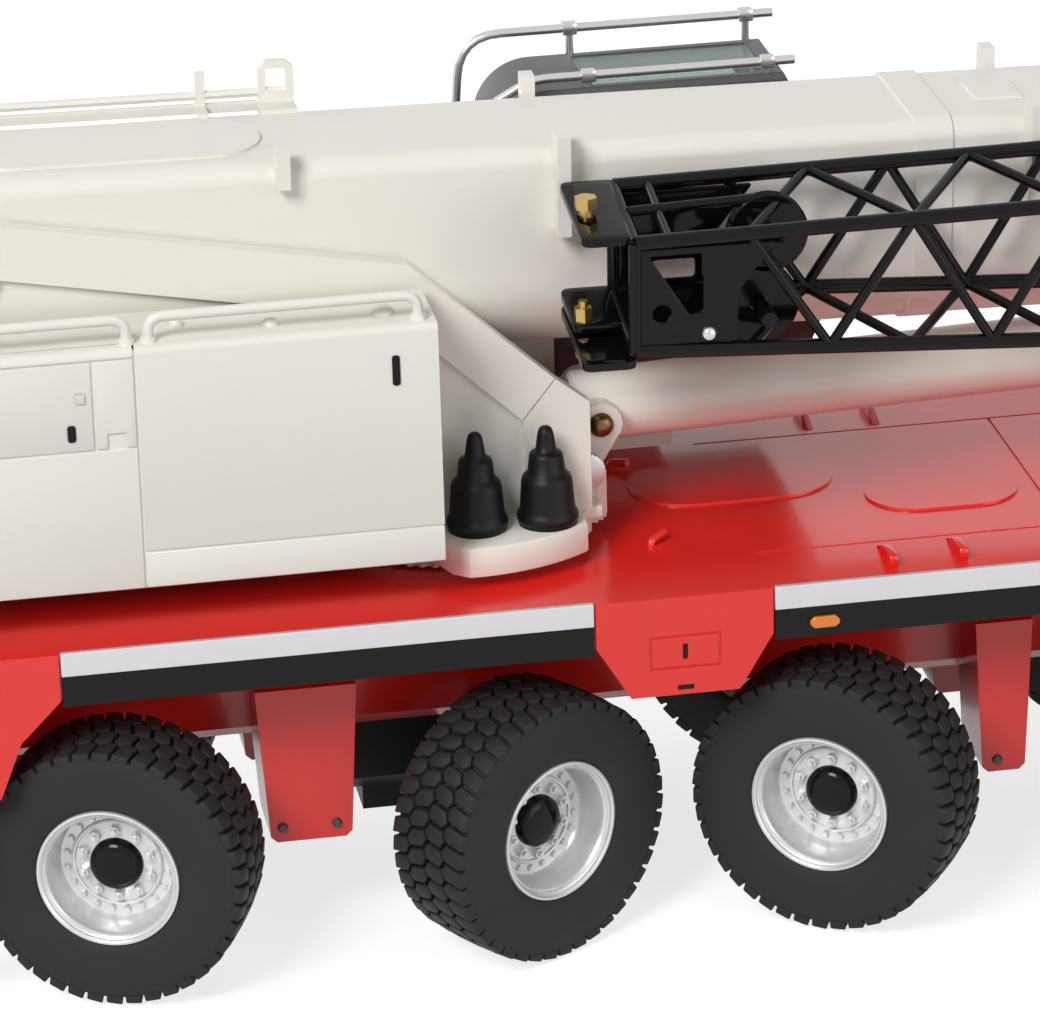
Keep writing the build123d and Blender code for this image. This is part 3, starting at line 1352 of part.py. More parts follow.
def luff_barrel():
    end = luff_run().length - EYE_R - BARREL_END_GAP
    shape = rod((-BARREL_TAIL, 0, 0), (end, 0, 0), BARREL_R)
    shape = chamfer(shape.edges().group_by(Axis.X)[0], TAIL_CHAMFER)
    shape -= rod((BARREL_START + BARREL_FLOOR, 0, 0), (end, 0, 0), ROD_R + ROD_GAP)
    reach = BARREL_R + EAR_GAP + EAR_W
    return on_cylinder(shape + cross_rod(0, 0, (-reach, reach), EYE_PIN_R, PIN_FLAT_COUNT))


def luff_rod():
    length = luff_run().length
    shape = rod((BARREL_START + BARREL_FLOOR + ROD_SEAT, 0, 0), (length, 0, 0), ROD_R)
    across = (-EYE_W / 2, EYE_W / 2)
    shape += cross_rod(length, 0, across, EYE_R, HUB_FLAT_COUNT)
    return on_cylinder(shape - cross_rod(length, 0, across, EYE_PIN_R + PIN_GAP, PIN_FLAT_COUNT))


def save(name, shape):
    parts = shape if isinstance(shape, (list, tuple)) else [shape]
    solids = [solid for part in parts for solid in part.solids()]
    moved = [Pos(SLEW_X, 0, 0) * solid for solid in solids]
    export_step(moved[0] if len(moved) == 1 else Compound(children=moved), f"parts/{name}.step")


def main():
    os.makedirs("parts", exist_ok=True)
    save("chassis_frame", chassis_frame())
    save("deck", deck())
    save("deck_edge_trim", trim_strips())
    save("side_skirts", skirt_strips())
    save("marker_lamps", marker_lamps())
    save("tail_lamps", tail_lamps())
    save("axles_and_gearbox", [axle_beam(x) for x in AXLE_X.values()] + [gearbox()])
    save("carrier_cab", carrier_cab())
    save("carrier_cab_glass", carrier_cab_glass())
    save("carrier_cab_interior", carrier_cab_interior())
    save("front_bumper", front_bumper())
    save("headlamps", headlamps())
    save("cab_mirrors", cab_mirrors())
    wheel = [Pos(0, WHEEL_OFFSET, 0) * solid for solid in (tyre(), rim())]
    swivel = knuckle()
    for axle in AXLE_X:
        for side in SIDES:
            save(f"wheel_{axle}_{side}", [at_kingpin(solid, axle, side) for solid in wheel])
            save(f"knuckle_{axle}_{side}", at_kingpin(swivel, axle, side))
    for station in OUTRIGGER_X:
        for side in SIDES:
            save(f"outrigger_beam_{station}_{side}", outrigger_beam(station, side))
            save(f"outrigger_jack_{station}_{side}", outrigger_jack(station, side))
    save("turntable", turntable())
    save("machinery_housings", [machinery_cabinet(), side_tank()])
    save("hand_rails", hand_rails())
    save("counterweight", counterweight())
    save("stowage_cones", [stowage_cone(x, y) for x, y in CONE_X_Y])
    save("hoist_drum", hoist_drum())
    save("upper_cab", upper_cab())
    save("upper_cab_glass", op_panes(GLASS, GLASS_GAP))
    save("upper_cab_seat", upper_cab_seat())
    save("upper_cab_rails", cab_rails())
    save("boom_base", on_boom(boom_base()))
    for number in range(2, SECTION_COUNT + 1):
        save(f"boom_section_{number}", on_boom(boom_section(number)))
    save("lattice_jib", on_boom(lattice_jib()))
    save("luff_barrel", luff_barrel())
    save("luff_rod", luff_rod())


if __name__ == "__main__":
    main()
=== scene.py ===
import json
import math

import bmesh
import bpy
from mathutils import Matrix, Vector

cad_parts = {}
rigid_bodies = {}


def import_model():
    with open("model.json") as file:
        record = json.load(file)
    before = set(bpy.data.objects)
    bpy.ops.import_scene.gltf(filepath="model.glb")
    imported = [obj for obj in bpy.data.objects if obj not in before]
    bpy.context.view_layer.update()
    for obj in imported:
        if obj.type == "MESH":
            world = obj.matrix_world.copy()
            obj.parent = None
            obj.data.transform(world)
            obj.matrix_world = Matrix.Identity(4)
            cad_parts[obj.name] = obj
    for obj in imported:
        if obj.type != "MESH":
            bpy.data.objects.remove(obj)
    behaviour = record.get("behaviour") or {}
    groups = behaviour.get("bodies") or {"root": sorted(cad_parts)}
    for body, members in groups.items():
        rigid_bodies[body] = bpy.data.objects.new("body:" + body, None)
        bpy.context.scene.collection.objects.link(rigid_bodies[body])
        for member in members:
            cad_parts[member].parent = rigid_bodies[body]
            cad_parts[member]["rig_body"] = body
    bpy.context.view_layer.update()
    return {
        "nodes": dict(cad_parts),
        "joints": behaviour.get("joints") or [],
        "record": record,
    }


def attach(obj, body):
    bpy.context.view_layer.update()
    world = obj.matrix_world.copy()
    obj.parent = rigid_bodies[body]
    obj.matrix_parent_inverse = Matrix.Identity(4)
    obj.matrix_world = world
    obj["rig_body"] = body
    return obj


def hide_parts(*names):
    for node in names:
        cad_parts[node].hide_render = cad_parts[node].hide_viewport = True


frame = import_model()
cad = frame["nodes"]
mm = 0.001
slewX = -57.0
print("frame loaded with", len(cad), "nodes")

# camera

photoView = {
    "elevation": 21.91,
    "azimuth": 9.19,
    "roll": -1.75,
    "distance": 623.38 * mm,
    "aim": Vector((-53 * mm, -29 * mm, 56.8 * mm)),
    "focalPixels": 5500,
    "framePixels": 1040,
    "sensor": 36,
    "nearest": 10 * mm,
}


def addCamera(view):
    elevation, azimuth, roll = (math.radians(view[key]) for key in ("elevation", "azimuth", "roll"))
    away = Vector((-math.sin(azimuth), -math.cos(azimuth), 0))
    right = Vector((math.cos(azimuth), -math.sin(azimuth), 0))
    toCamera = away * math.cos(elevation) + Vector((0, 0, math.sin(elevation)))
    up = toCamera.cross(right)
    rolledRight = right * math.cos(roll) + up * math.sin(roll)
    rolledUp = up * math.cos(roll) - right * math.sin(roll)
    camera = bpy.data.objects.new("photoCamera", bpy.data.cameras.new("photoCamera"))
    camera.data.sensor_fit = "HORIZONTAL"
    camera.data.sensor_width = view["sensor"]
    camera.data.lens = view["focalPixels"] / view["framePixels"] * view["sensor"]
    camera.data.clip_start = view["nearest"]
    axes = Matrix((rolledRight, rolledUp, toCamera)).transposed().to_4x4()
    camera.matrix_world = Matrix.Translation(view["aim"] + toCamera * view["distance"]) @ axes
    bpy.context.scene.collection.objects.link(camera)
    bpy.context.scene.camera = camera


addCamera(photoView)
print("camera placed")

# finishes

finishes = {
    "redGloss": {
        "colour": (0.80, 0.019, 0.012), "shade": 0.93, "rough": 0.24, "grain": 900, "bump": 0.05, "coat": 0.25,
    },
    "creamPaint": {
        "colour": (0.79, 0.765, 0.70), "shade": 0.96, "rough": 0.34, "grain": 1400, "bump": 0.08, "coat": 0.2,
    },
    "silverPaint": {
        "colour": (0.68, 0.665, 0.69), "shade": 0.93, "rough": 0.38, "grain": 2500, "bump": 0.06, "metal": 0.5,
    },
    "satinBlack": {
        "colour": (0.006, 0.0055, 0.0055), "shade": 0.75, "rough": 0.42, "grain": 1800, "bump": 0.10, "shine": 0.2,
    },
    "glossBlack": {
        "colour": (0.004, 0.004, 0.004), "shade": 0.70, "rough": 0.13, "grain": 700,
        "bump": 0.06, "shine": 0.14, "coat": 0.1,
    },
    "tyreRubber": {
        "colour": (0.017, 0.016, 0.016), "shade": 0.72, "rough": 0.66, "grain": 1500, "bump": 0.18, "shine": 0.35,
    },
    "wheelSilver": {
        "colour": (0.72, 0.715, 0.725), "shade": 0.90, "rough": 0.32, "grain": 2200, "bump": 0.10, "metal": 0.5,
    },
    "bareSteel": {
        "colour": (0.62, 0.61, 0.60), "shade": 0.90, "rough": 0.22, "grain": 1600, "bump": 0.05, "metal": 1.0,
    },
    "cabGrey": {
        "colour": (0.070, 0.064, 0.067), "shade": 0.85, "rough": 0.38, "grain": 1600, "bump": 0.08,
    },
    "brass": {
        "colour": (0.55, 0.37, 0.13), "shade": 0.80, "rough": 0.28, "grain": 2400, "bump": 0.08, "metal": 1.0,
    },
    "bronze": {
        "colour": (0.20, 0.12, 0.05), "shade": 0.80, "rough": 0.30, "grain": 2400, "bump": 0.08, "metal": 1.0,
    },
    "amberLens": {
        "colour": (0.85, 0.22, 0.01), "shade": 0.80, "rough": 0.15, "grain": 1200, "bump": 0.05, "coat": 0.5,
    },
    "redLens": {
        "colour": (0.50, 0.006, 0.006), "shade": 0.80, "rough": 0.15, "grain": 1200, "bump": 0.05, "coat": 0.5,
    },
    "clearLens": {
        "colour": (0.70, 0.73, 0.74), "shade": 0.90, "rough": 0.12, "grain": 1200, "bump": 0.05, "coat": 0.5,
    },
}
paintGrain = {
    "mottleShare": 0.12, "mottleDetail": 4, "smoothest": 0.85, "roughest": 1.2, "grainDetail": 3, "depth": 0.1,
    "coatRough": 0.08,
}
glassLook = {"colour": (0.62, 0.74, 0.68), "rough": 0.04, "smear": 60, "smearRough": 2.5, "clear": 0.85, "bend": 1.15}


def makeFinish(name, look):
    material = bpy.data.materials.new(name)
    material.use_nodes = True
    nodes, links = material.node_tree.nodes, material.node_tree.links
    shader = nodes["Principled BSDF"]
    shader.inputs["Metallic"].default_value = look.get("metal", 0.0)
    shader.inputs["Specular IOR Level"].default_value = look.get("shine", 0.5)
    shader.inputs["Coat Weight"].default_value = look.get("coat", 0.0)
    shader.inputs["Coat Roughness"].default_value = paintGrain["coatRough"]
    place = nodes.new("ShaderNodeTexCoord")
    mottle = nodes.new("ShaderNodeTexNoise")
    mottle.inputs["Scale"].default_value = look["grain"] * paintGrain["mottleShare"]
    mottle.inputs["Detail"].default_value = paintGrain["mottleDetail"]
    links.new(place.outputs["Object"], mottle.inputs["Vector"])
    tint = nodes.new("ShaderNodeMix")
    tint.data_type = "RGBA"
    tint.inputs["A"].default_value = (*[part * look["shade"] for part in look["colour"]], 1)
    tint.inputs["B"].default_value = (*look["colour"], 1)
    links.new(mottle.outputs["Fac"], tint.inputs["Factor"])
    links.new(tint.outputs["Result"], shader.inputs["Base Color"])
    spread = nodes.new("ShaderNodeMapRange")
    spread.inputs["To Min"].default_value = look["rough"] * paintGrain["smoothest"]
    spread.inputs["To Max"].default_value = look["rough"] * paintGrain["roughest"]
    links.new(mottle.outputs["Fac"], spread.inputs["Value"])
    links.new(spread.outputs["Result"], shader.inputs["Roughness"])
    grain = nodes.new("ShaderNodeTexNoise")
    grain.inputs["Scale"].default_value = look["grain"]
    grain.inputs["Detail"].default_value = paintGrain["grainDetail"]
    links.new(place.outputs["Object"], grain.inputs["Vector"])
    relief = nodes.new("ShaderNodeBump")
    relief.inputs["Strength"].default_value = look["bump"]
    relief.inputs["Distance"].default_value = paintGrain["depth"] * mm
    links.new(grain.outputs["Fac"], relief.inputs["Height"])
    links.new(relief.outputs["Normal"], shader.inputs["Normal"])
    return material


def makeGlass(name, look):
    material = bpy.data.materials.new(name)
    material.use_nodes = True
    nodes, links = material.node_tree.nodes, material.node_tree.links
    shader = nodes["Principled BSDF"]
    shader.inputs["Base Color"].default_value = (*look["colour"], 1)
    shader.inputs["Transmission Weight"].default_value = look["clear"]
    shader.inputs["IOR"].default_value = look["bend"]
    place = nodes.new("ShaderNodeTexCoord")
    smear = nodes.new("ShaderNodeTexNoise")
    smear.inputs["Scale"].default_value = look["smear"]
    links.new(place.outputs["Object"], smear.inputs["Vector"])
    spread = nodes.new("ShaderNodeMapRange")
    spread.inputs["To Min"].default_value = look["rough"]
    spread.inputs["To Max"].default_value = look["rough"] * look["smearRough"]
    links.new(smear.outputs["Fac"], spread.inputs["Value"])
    links.new(spread.outputs["Result"], shader.inputs["Roughness"])
    return material


finish = {name: makeFinish(name, look) for name, look in finishes.items()}
finish["tintedGlass"] = makeGlass("tintedGlass", glassLook)
print("finishes made:", len(finish))

# each slot of the record gets its finish

slotFinish = {
    "red_paint": "redGloss",
    "cream_paint": "creamPaint",
    "silver_strip": "silverPaint",
    "black_plastic": "satinBlack",
    "black_gloss": "glossBlack",
    "tyre_rubber": "tyreRubber",
    "steel": "bareSteel",
    "grey_plastic": "cabGrey",
    "tinted_glass": "tintedGlass",
    "amber_lamp": "amberLens",
    "red_lamp": "redLens",
    "clear_lamp": "clearLens",
}
nodeLook = {piece["node"]: slotFinish[piece["material_slot"]] for piece in frame["record"]["subparts"]}
for name, look in nodeLook.items():
    cad[name].data.materials.clear()
    cad[name].data.materials.append(finish[look])
print("solids dressed")

# building blocks

weld = 0.001 * mm


def spot(x, y, z):
    # x counts from the slewing axis
    return Vector((x + slewX, y, z)) * mm


def settle(name, mesh, look, body, stands=(), sharp=35):
    bmesh.ops.recalc_face_normals(mesh, faces=mesh.faces)
    data = bpy.data.meshes.new(name)
    mesh.to_mesh(data)
    mesh.free()
    data.shade_smooth()
    data.set_sharp_from_angle(angle=math.radians(sharp))
    data.materials.append(finish[look])
    piece = bpy.data.objects.new(name, data)
    bpy.context.scene.collection.objects.link(piece)
    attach(piece, body)
    if stands:
        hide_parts(*stands)
    return piece


def join(mesh, part, place=Matrix()):
    part.transform(place)
    scrap = bpy.data.meshes.new("scrap")
    part.to_mesh(scrap)
    part.free()
    mesh.from_mesh(scrap)
    bpy.data.meshes.remove(scrap)


def lathe(outline, steps):
    # outline points are radius and distance along Y
    part = bmesh.new()
    rail = [part.verts.new((radius * mm, along * mm, 0)) for radius, along in outline]
    edges = [part.edges.new(pair) for pair in zip(rail, rail[1:])]
    bmesh.ops.spin(
        part, geom=rail + edges, cent=(0, 0, 0), axis=(0, 1, 0), angle=math.tau, steps=steps, use_merge=True,
    )
    bmesh.ops.remove_doubles(part, verts=part.verts, dist=weld)
    return part


def stud(mesh, place, sides, low, high, depth):
    lift = Matrix.Translation((0, 0, depth / 2 * mm))
    bmesh.ops.create_cone(
        mesh, cap_ends=True, segments=sides, radius1=low * mm, radius2=high * mm, depth=depth * mm,
        matrix=place @ lift,
    )


def standing(point, direction=(0, 0, 1)):
    return Matrix.Translation(point) @ Vector(direction).to_track_quat("Z", "X").to_matrix().to_4x4()


def softened(part, edges, width, steps, clamp=False):
    bmesh.ops.bevel(
        part, geom=edges, offset=width * mm, segments=steps, profile=0.5, affect="EDGES", clamp_overlap=clamp,
        material=-1,
    )


def slab(mesh, low, high, edge=0.0):
    part = bmesh.new()
    size = high - low
    middle = (low + high) / 2
    bmesh.ops.create_cube(part, size=1, matrix=Matrix.LocRotScale(middle, None, size))
    if edge:
        softened(part, part.edges[:], edge, 2)
    join(mesh, part)


def arc(before, corner, after, bend, steps):
    start = corner + (before - corner).normalized() * bend
    end = corner + (after - corner).normalized() * bend
    ticks = [i / steps for i in range(steps + 1)]
    return [start * (1 - t) ** 2 + corner * 2 * t * (1 - t) + end * t ** 2 for t in ticks]


def bent(points, bend, steps=6):
    path = [points[0]]
    for before, corner, after in zip(points, points[1:], points[2:]):
        path += arc(before, corner, after, bend * mm, steps)
    return path + [points[-1]]


def softLoop(points, bend, steps=4):
    corners = [Vector(point) for point in points]
    loop = []
    for i, corner in enumerate(corners):
        loop += arc(corners[i - 1], corner, corners[(i + 1) % len(corners)], bend, steps)
    return loop


def pipes(runs, radius, sides=3):
    # one bevelled curve carries all the runs
    curve = bpy.data.curves.new("pipeRuns", "CURVE")
    curve.dimensions = "3D"
    curve.bevel_depth = radius * mm
    curve.bevel_resolution = sides
    curve.use_fill_caps = True
    for run in runs:
        line = curve.splines.new("POLY")
        line.points.add(len(run) - 1)
        for knot, point in zip(line.points, run):
            knot.co = (*point, 1)
    holder = bpy.data.objects.new("pipeRuns", curve)
    solid = bpy.data.meshes.new_from_object(holder)
    part = bmesh.new()
    part.from_mesh(solid)
    bpy.data.objects.remove(holder)
    bpy.data.curves.remove(curve)
    bpy.data.meshes.remove(solid)
    bmesh.ops.remove_doubles(part, verts=part.verts, dist=weld)
    return part


def plate(loops, lift, edge=0.0):
    # the first loop is the rim, the others are holes
    part = bmesh.new()
    edges = []
    for loop in loops:
        ring = [part.verts.new((point[0] * mm, point[1] * mm, 0)) for point in loop]
        edges += [part.edges.new((ring[i - 1], ring[i])) for i in range(len(ring))]
    filled = bmesh.ops.triangle_fill(part, use_beauty=True, use_dissolve=False, edges=edges)
    faces = [item for item in filled["geom"] if isinstance(item, bmesh.types.BMFace)]
    raised = bmesh.ops.extrude_face_region(part, geom=faces, use_keep_orig=True)
    tops = [item for item in raised["geom"] if isinstance(item, bmesh.types.BMVert)]
    bmesh.ops.translate(part, vec=(0, 0, lift * mm), verts=tops)
    bmesh.ops.recalc_face_normals(part, faces=part.faces)
    if edge:
        rim = [item for item in part.edges if item.calc_face_angle(0) > 1]
        softened(part, rim, edge, 2)
    return part


sideOn = Matrix.Rotation(math.radians(90), 4, "X")


def shifted(x, y, z):
    return Matrix.Translation(spot(x, y, z))


# wheels

wheelShape = {
    "carcass": (
        (8.4, -4.9), (8.55, -5.45), (9.1, -5.75), (10.2, -5.93), (12.5, -6.0), (14.6, -5.97),
        (15.0, -5.85), (15.2, -5.4), (15.2, 5.4), (15.0, 5.85), (14.6, 5.97), (12.5, 6.0),
        (10.2, 5.93), (9.1, 5.75), (8.55, 5.45), (8.4, 4.9), (8.4, -4.9),
    ),
    "rim": (
        (8.4, -4.9), (8.4, 4.95), (8.5, 5.45), (8.4, 5.7), (8.15, 5.75), (7.95, 5.55), (7.9, 5.2), (7.75, 5.1),
        (7.6, 5.15), (7.45, 5.0), (7.3, 4.6), (7.2, 2.2), (7.05, 1.4), (6.75, 1.0), (6.35, 0.9), (5.5, 0.9),
        (5.4, 1.2), (5.25, 1.3), (5.05, 1.25), (4.95, 1.0), (3.5, 1.05), (3.3, 1.15), (3.0, 1.15), (3.0, 0.2),
        (6.9, 0.2), (7.3, -0.3), (7.4, -4.6), (8.0, -5.2), (8.4, -4.9),
    ),
    "hub": ((3.15, 0.3), (3.15, 1.5), (3.05, 1.95), (2.75, 2.35), (2.1, 2.6), (1.2, 2.7), (0.0, 2.72)),
    "carcassSteps": 96,
    "rimSteps": 72,
    "hubSteps": 48,
    "blocks": 42,
    "blockHalf": 0.96,
    "blockReach": 1.05,
    "blockPoint": 0.55,
    "blockFoot": 14.8,
    "blockHeight": 1.38,
    "blockEdge": 0.2,
    "slant": 0.2,
    "crown": 0.010,
    "middleRow": 1.5,
    "shoulderRow": 4.45,
    "shoulderEnd": 5.95,
    "nuts": 10,
    "nutCircle": 4.15,
    "nutFoot": 0.95,
    "nut": (6, 0.68, 0.62, 0.75),
    "nutTip": (10, 0.4, 0.3, 1.2),
    "studs": 20,
    "studCircle": 6.0,
    "studFoot": 0.85,
    "stud": (10, 0.46, 0.32, 0.5),
}


def treadBlock(shape, row, shoulder):
    part = bmesh.new()
    half, reach, point = shape["blockHalf"], shape["blockReach"], shape["blockPoint"]
    outline = [(-half, row - reach), (0, row - reach - point), (half, row - reach)]
    if shoulder:
        outline += [(half, shape["shoulderEnd"]), (-half, shape["shoulderEnd"])]
    else:
        outline += [(half, row + reach), (0, row + reach + point), (-half, row + reach)]
    foot = part.faces.new([part.verts.new(((x + shape["slant"] * y) * mm, y * mm, 0)) for x, y in outline])
    grown = bmesh.ops.extrude_face_region(part, geom=[foot], use_keep_orig=True)
    tops = [item for item in grown["geom"] if isinstance(item, bmesh.types.BMVert)]
    for corner in tops:
        corner.co.z = (shape["blockHeight"] - shape["crown"] * (corner.co.y / mm) ** 2) * mm
    bmesh.ops.recalc_face_normals(part, faces=part.faces)
    lid = [edge for edge in part.edges if any(vert in tops for vert in edge.verts)]
    softened(part, lid, shape["blockEdge"], 2)
    return part


def treadRow(shape, row, shoulder, mirrored, stagger):
    part = treadBlock(shape, row, shoulder)
    if mirrored:
        bmesh.ops.scale(part, vec=(1, -1, 1), verts=part.verts)
    count = shape["blocks"]
    part.transform(Matrix.Translation((0, 0, shape["blockFoot"] * mm)))
    part.transform(Matrix.Rotation(math.tau / count * stagger, 4, "Y"))
    bmesh.ops.spin(
        part, geom=part.verts[:] + part.edges[:] + part.faces[:], cent=(0, 0, 0), axis=(0, 1, 0),
        angle=math.tau * (count - 1) / count, steps=count - 1, use_duplicate=True,
    )
    return part


def wheelTyre(shape):
    mesh = lathe(shape["carcass"], shape["carcassSteps"])
    for mirrored in (False, True):
        join(mesh, treadRow(shape, shape["middleRow"], False, mirrored, 0.5 if mirrored else 0.0))
        join(mesh, treadRow(shape, shape["shoulderRow"], True, mirrored, 0.0 if mirrored else 0.5))
    return mesh


def wheelRim(shape):
    mesh = lathe(shape["rim"], shape["rimSteps"])
    for i in range(shape["nuts"]):
        turn = Matrix.Rotation(math.tau * i / shape["nuts"], 4, "Y")
        foot = turn @ standing(Vector((0, shape["nutFoot"], shape["nutCircle"])) * mm, (0, 1, 0))
        stud(mesh, foot, *shape["nut"])
        stud(mesh, foot, *shape["nutTip"])
    for i in range(shape["studs"]):
        turn = Matrix.Rotation(math.tau * (i + 0.5) / shape["studs"], 4, "Y")
        foot = turn @ standing(Vector((0, shape["studFoot"], shape["studCircle"])) * mm, (0, 1, 0))
        stud(mesh, foot, *shape["stud"])
    return mesh


def wheelPlace(joint):
    outward = Vector(joint["axis"]) * (1 if joint["child"].endswith("left") else -1)
    return Matrix.Translation(joint["pos_m"]) @ outward.to_track_quat("Y", "Z").to_matrix().to_4x4()


def addWheels(shape):
    forms = (
        ("tyre", wheelTyre(shape), "tyreRubber"),
        ("rim", wheelRim(shape), "wheelSilver"),
        ("hubCap", lathe(shape["hub"], shape["hubSteps"]), "glossBlack"),
    )
    for joint in frame["joints"]:
        if joint["name"].startswith("spin_"):
            place = wheelPlace(joint)
            for form, pattern, look in forms:
                mesh = pattern.copy()
                mesh.transform(place)
                name = joint["child"].replace("wheel", form)
                settle(name, mesh, look, joint["child"], (joint["child"],) if form == "tyre" else ())
    for form, pattern, look in forms:
        pattern.free()


addWheels(wheelShape)
print("wheels on")

# lattice jib, drawn level and lowered with the boom

boomSet = {"pivot": (-62.0, 81.3), "drop": 1.0, "centre": 79.1}
pivotSpot = spot(boomSet["pivot"][0], 0, boomSet["pivot"][1])
boomTurn = Matrix.Rotation(math.radians(boomSet["drop"]), 4, "Y")
onBoom = Matrix.Translation(pivotSpot) @ boomTurn @ Matrix.Translation(-pivotSpot)

jibShape = {
    "stations": (18.0, 110.0, 186.0),
    "rise": (3.3, 2.4, 1.7),
    "half": (6.4, 9.5, 4.5),
    "near": -28.0,
    "far": -14.8,
    "farShift": 2.5,
    "chord": 0.9,
    "lace": 0.6,
    "bays": 8,
    "laceFrom": 13.0,
    "laceTo": 3.0,
    "plate": 0.8,
    "plateBend": 0.5,
    "plateEdge": 0.12,
    "plateOutline": ((0.0, -5.8), (0.0, 5.6), (16.2, 5.7), (11.8, 0.1), (11.7, -5.8)),
    "nearWindow": ((1.5, 4.8), (7.7, 4.85), (7.75, -2.15), (6.2, -2.5)),
    "farWindow": ((4.5, -2.8), (9.5, -2.8), (9.5, -5.2), (4.5, -5.2)),
    "hole": (3.0, -2.1, 1.1),
    "holeSteps": 20,
    "lug": ((0.4, 0.5), (0.4, 14.3), (-6.2, 14.3), (-5.9, 0.5)),
    "shortLug": ((0.4, 5.4), (0.4, 14.3), (-6.2, 14.3), (-6.0, 5.4)),
    "floor": ((0.0, 0.0), (0.0, 13.2), (11.5, 13.2), (11.5, 0.0)),
    "lugThick": 1.1,
    "lugBend": 1.2,
    "lugEdge": 0.2,
    "forkDrop": 2.0,
    "post": 0.75,
    "topRail": ((18.4, -21.5, 90.4), (33.0, -21.5, 91.0)),
    "crossRail": ((21.9, -28.0, 89.0), (21.9, -14.8, 91.4)),
    "sheave": (
        (1.0, -0.8), (4.5, -0.8), (4.7, -0.6), (4.0, -0.12), (4.0, 0.12), (4.7, 0.6), (4.5, 0.8), (1.0, 0.8),
        (1.0, -0.8),
    ),
    "sheaveSteps": 48,
    "sheaves": ((34.5, 1, -2.3), (33.5, -1, 3.2)),
    "axle": 0.95,
}


def alongJib(shape, key, x):
    (x0, x1, x2), (a, b, c) = shape["stations"], shape[key]
    return a + (b - a) * (x - x0) / (x1 - x0) if x < x1 else b + (c - b) * (x - x1) / (x2 - x1)


def jibLevel(shape, x, y, up):
    shift = shape["farShift"] if y == shape["far"] else 0
    return boomSet["centre"] + alongJib(shape, "rise", x) + up * alongJib(shape, "half", x) + shift


def jibKnot(shape, x, y, up):
    return spot(x, y, jibLevel(shape, x, y, up))


def jibLaces(shape):
    first, last = shape["stations"][0] + shape["laceFrom"], shape["stations"][2] - shape["laceTo"]
    marks = [first + (last - first) * i / (2 * shape["bays"]) for i in range(2 * shape["bays"] + 1)]
    near, far = shape["near"], shape["far"]
    runs = []
    for i, (a, b) in enumerate(zip(marks, marks[1:])):
        up = 1 if i % 2 == 0 else -1
        for y in (near, far):
            runs.append((jibKnot(shape, a, y, up), jibKnot(shape, b, y, -up)))
        start, end = (near, far) if i % 2 == 0 else (far, near)
        for level in (1, -1):
            runs.append((jibKnot(shape, a, start, level), jibKnot(shape, b, end, level)))
    return runs


def acrossJib(shape, up, drop):
    # the top and bottom of the jib rise towards the boom
    x0, near, far = shape["stations"][0], shape["near"], shape["far"]
    slope = math.atan2(shape["farShift"], far - near)
    return shifted(x0, near, jibLevel(shape, x0, near, up) - drop) @ Matrix.Rotation(slope, 4, "X")


def addJib(shape):
    x0, x1, x2 = shape["stations"]
    near, far = shape["near"], shape["far"]
    chords = [[jibKnot(shape, x, y, up) for x in (x0, x1, x2)] for y in (near, far) for up in (1, -1)]
    mesh = pipes(chords, shape["chord"], 4)
    posts = [(jibKnot(shape, x0, y, 1), jibKnot(shape, x0, y, -1)) for y in (near, far)]
    posts += [(jibKnot(shape, x, near, up), jibKnot(shape, x, far, up)) for x in (x0, x2) for up in (1, -1)]
    join(mesh, pipes(posts, shape["post"], 4))
    rails = [[spot(*point) for point in shape[key]] for key in ("topRail", "crossRail")]
    join(mesh, pipes(jibLaces(shape) + rails, shape["lace"], 3))
    holeX, holeZ, holeR = shape["hole"]
    turns = [math.tau * i / shape["holeSteps"] for i in range(shape["holeSteps"])]
    hole = [(holeX + holeR * math.cos(turn), holeZ + holeR * math.sin(turn)) for turn in turns]
    outlines = ("plateOutline", "nearWindow", "farWindow")
    rim, nearWindow, farWindow = (softLoop(shape[key], shape["plateBend"]) for key in outlines)
    for y, loops in ((near, (rim, nearWindow, hole)), (far, (rim, farWindow))):
        middle = (jibLevel(shape, x0, y, 1) + jibLevel(shape, x0, y, -1)) / 2
        cheek = plate(loops, shape["plate"], shape["plateEdge"])
        join(mesh, cheek, shifted(x0, y + shape["plate"] / 2, middle) @ sideOn)
    thick = shape["lugThick"]
    for key, up, drop in (("lug", 1, 0), ("shortLug", -1, 0), ("lug", -1, shape["forkDrop"]), ("floor", -1, 0)):
        lug = plate((softLoop(shape[key], shape["lugBend"]),), thick, shape["lugEdge"])
        join(mesh, lug, acrossJib(shape, up, drop + thick / 2))
    middle = (near + far) / 2
    for x, up, rise in shape["sheaves"]:
        z = jibLevel(shape, x, near, up) + rise
        join(mesh, lathe(shape["sheave"], shape["sheaveSteps"]), shifted(x, middle, z))
        join(mesh, pipes([(spot(x, near, z), spot(x, far, z))], shape["axle"], 4))
    mesh.transform(onBoom)
    settle("latticeJib", mesh, "glossBlack", "boom", ("lattice_jib",), 40)


addJib(jibShape)
print("jib stowed")

# brass bolts of the jib lugs, a rivet on its plate, and the pin of the luffing cylinder

